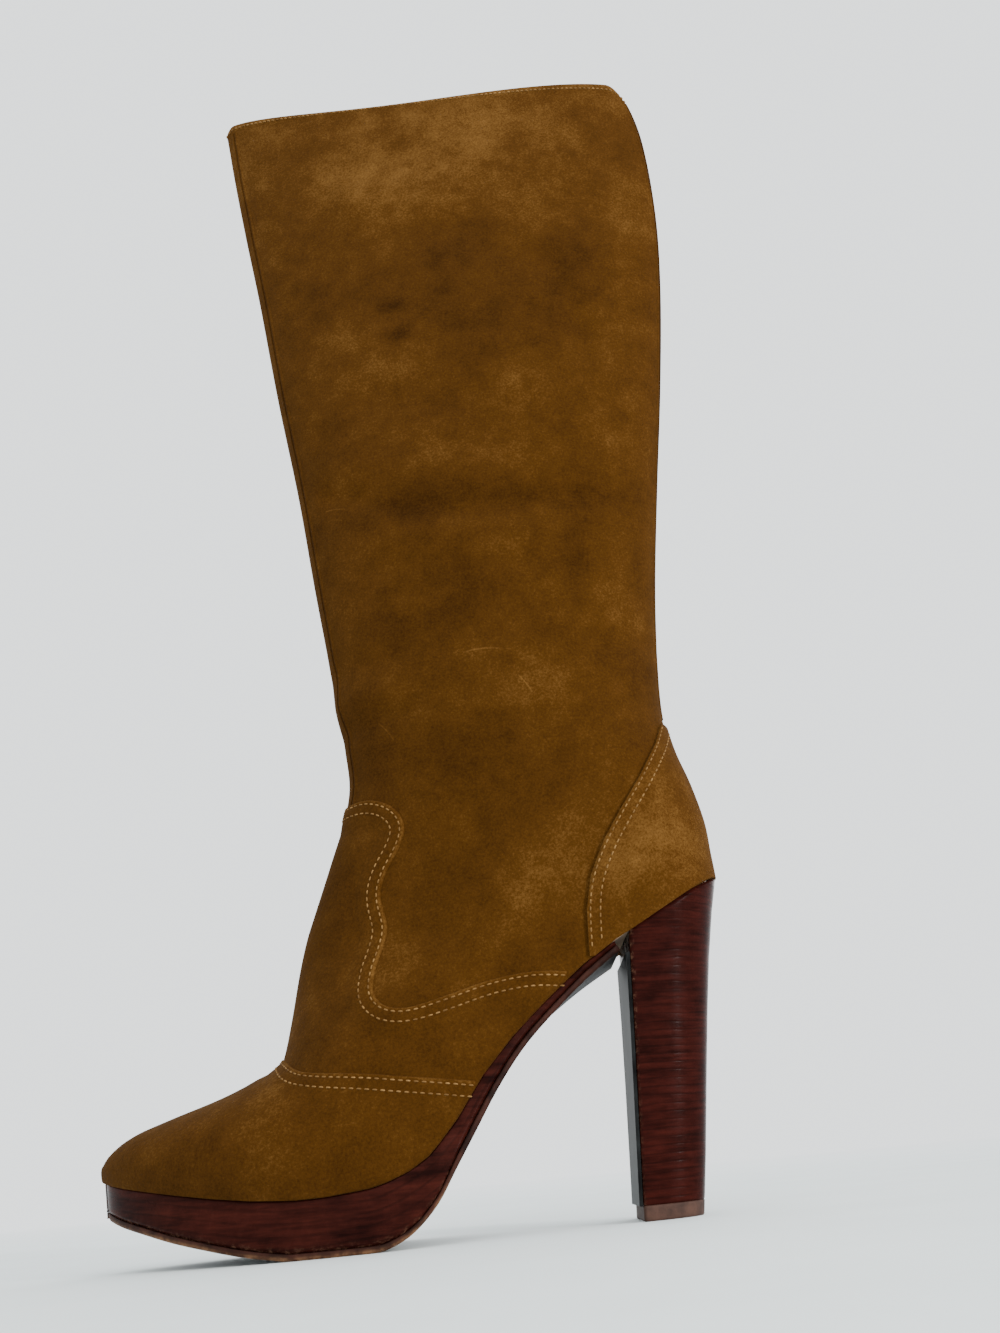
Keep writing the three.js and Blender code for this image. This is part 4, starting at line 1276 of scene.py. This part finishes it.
def build_sole():
    stack = stacked_leather("platform_stack", 3.7, 22, (0.008, 0.0020, 0.0016), (0.040, 0.0085, 0.0056))
    platform = dressed(sole_piece("platform_stack", OUTSOLE_THICKNESS + 0.05, None, 1.1), stack)
    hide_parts("platform")
    outsole = dressed(sole_piece("outsole_leather", 0.0, OUTSOLE_THICKNESS, 0.7), outsole_leather())
    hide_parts("outsole")
    layers = stacked_leather("heel_stack", 2.7, 16, (0.009, 0.0019, 0.0014), (0.033, 0.0060, 0.0042))
    heel = dressed(heel_piece("heel_stack", TOP_LIFT_HEIGHT, None, 0.5), layers)
    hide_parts("heel")
    lift = plain("lift_rubber", 5, (0.026, 0.011, 0.007), (0.058, 0.026, 0.017), 0.7, 0.08, ior=1.3)
    top_lift = dressed(heel_piece("top_lift_rubber", 0.0, TOP_LIFT_HEIGHT, 0.5), lift)
    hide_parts("top_lift")
    breast = bpy.data.objects["heel_breast"]
    lacquer = plain("breast_lacquer", 9, (0.006, 0.006, 0.006), (0.02, 0.021, 0.021), 0.42, 0.03, ior=1.08)
    paint(breast, lacquer)
    bevel(breast, 0.15, 40, 2)
    insole = bpy.data.objects["insole"]
    paint(insole, plain("insole_leather", 20, (0.36, 0.24, 0.15), (0.55, 0.4, 0.28), 0.6, 0.1))
    sharpen(insole, 40)


# ---- Stage, light and camera ----

AIM = Vector((-33.8, 19.9, 196.8)) * MM
CAMERA_PLACE = Vector((50, 480, 20)) * MM
CAMERA_ROLL = 5.4  # degrees
FRAME_SLIDE = 0.17  # slides the frame over the one boot, in frame heights
LENS = 34.4
PALE = (0.95, 0.985, 1.0)
WORLD_STRENGTH = 1.9
FLOOR_RADIUS = 14  # in metres
FLOOR_FADE = 3.0  # metres over which the floor passes into the world's colour


def make_floor():
    bpy.ops.mesh.primitive_circle_add(
        vertices=96, radius=FLOOR_RADIUS, fill_type="NGON", location=(0.08, 0, 0))
    floor = bpy.context.object
    floor.name = "floor"
    m = Shader("pale_floor", 0.8)
    m.set("Base Color", m.ramp(m.noise(60, 3), (0.3, (0.70, 0.755, 0.755)), (0.7, (0.73, 0.785, 0.785))))
    m.bump(m.noise(3, 3), 0.05)
    away = m.node("ShaderNodeVectorMath", operation="LENGTH")
    m.join(m.place, away.inputs[0])
    glow = m.node("ShaderNodeEmission")
    glow.inputs["Color"].default_value = (*PALE, 1)
    glow.inputs["Strength"].default_value = WORLD_STRENGTH
    blend = m.node("ShaderNodeMixShader")
    share = m.math("DIVIDE", away.outputs["Value"], FLOOR_FADE)
    m.join(m.ramp(share, (0.15, 0.0), (0.7, 1.0)), blend.inputs["Fac"])
    m.join(m.shader.outputs["BSDF"], blend.inputs[1])
    m.join(glow.outputs["Emission"], blend.inputs[2])
    m.join(blend.outputs["Shader"], m.tree.nodes["Material Output"].inputs["Surface"])
    floor.data.materials.append(m.material)


def area_light(name, place, target, size, power, colour=(1, 1, 1)):
    data = bpy.data.lights.new(name, "AREA")
    data.shape = "RECTANGLE"
    data.size, data.size_y = size
    data.energy = power
    data.color = colour
    light = bpy.data.objects.new(name, data)
    light.location = place
    light.rotation_euler = (Vector(target) - Vector(place)).to_track_quat("-Z", "Y").to_euler()
    bpy.context.scene.collection.objects.link(light)


def make_lights():
    world = bpy.data.worlds.new("studio")
    world.use_nodes = True
    world.node_tree.nodes["Background"].inputs["Color"].default_value = (*PALE, 1)
    world.node_tree.nodes["Background"].inputs["Strength"].default_value = WORLD_STRENGTH
    bpy.context.scene.world = world
    middle = (0.08, 0, 0.22)
    area_light("key", (0.1, 1.4, 1.2), middle, (1.0, 0.8), 8, (1, 0.98, 0.95))
    area_light("heel_strip", (-0.95, 1.0, 0.25), (0, 0, 0.08), (0.14, 0.9), 26, (1, 0.95, 0.92))
    area_light("back_fill", (-0.4, -1.4, 0.9), middle, (1.2, 1.0), 5)


def make_camera():
    data = bpy.data.cameras.new("camera")
    data.sensor_fit = "VERTICAL"
    data.sensor_height = 36
    data.lens = LENS
    data.shift_x = -FRAME_SLIDE
    camera = bpy.data.objects.new("camera", data)
    forward = (AIM - CAMERA_PLACE).normalized()
    right = forward.cross(Vector((0, 0, 1))).normalized()
    up = right.cross(forward)
    roll = math.radians(CAMERA_ROLL)
    up = up * math.cos(roll) + right * math.sin(roll)
    right = forward.cross(up)
    turn = Matrix((right, up, -forward)).transposed()
    camera.matrix_world = Matrix.Translation(CAMERA_PLACE) @ turn.to_4x4()
    bpy.context.scene.collection.objects.link(camera)
    bpy.context.scene.camera = camera


make_camera()
build_boot()
build_zip()
build_sole()
make_floor()
make_lights()
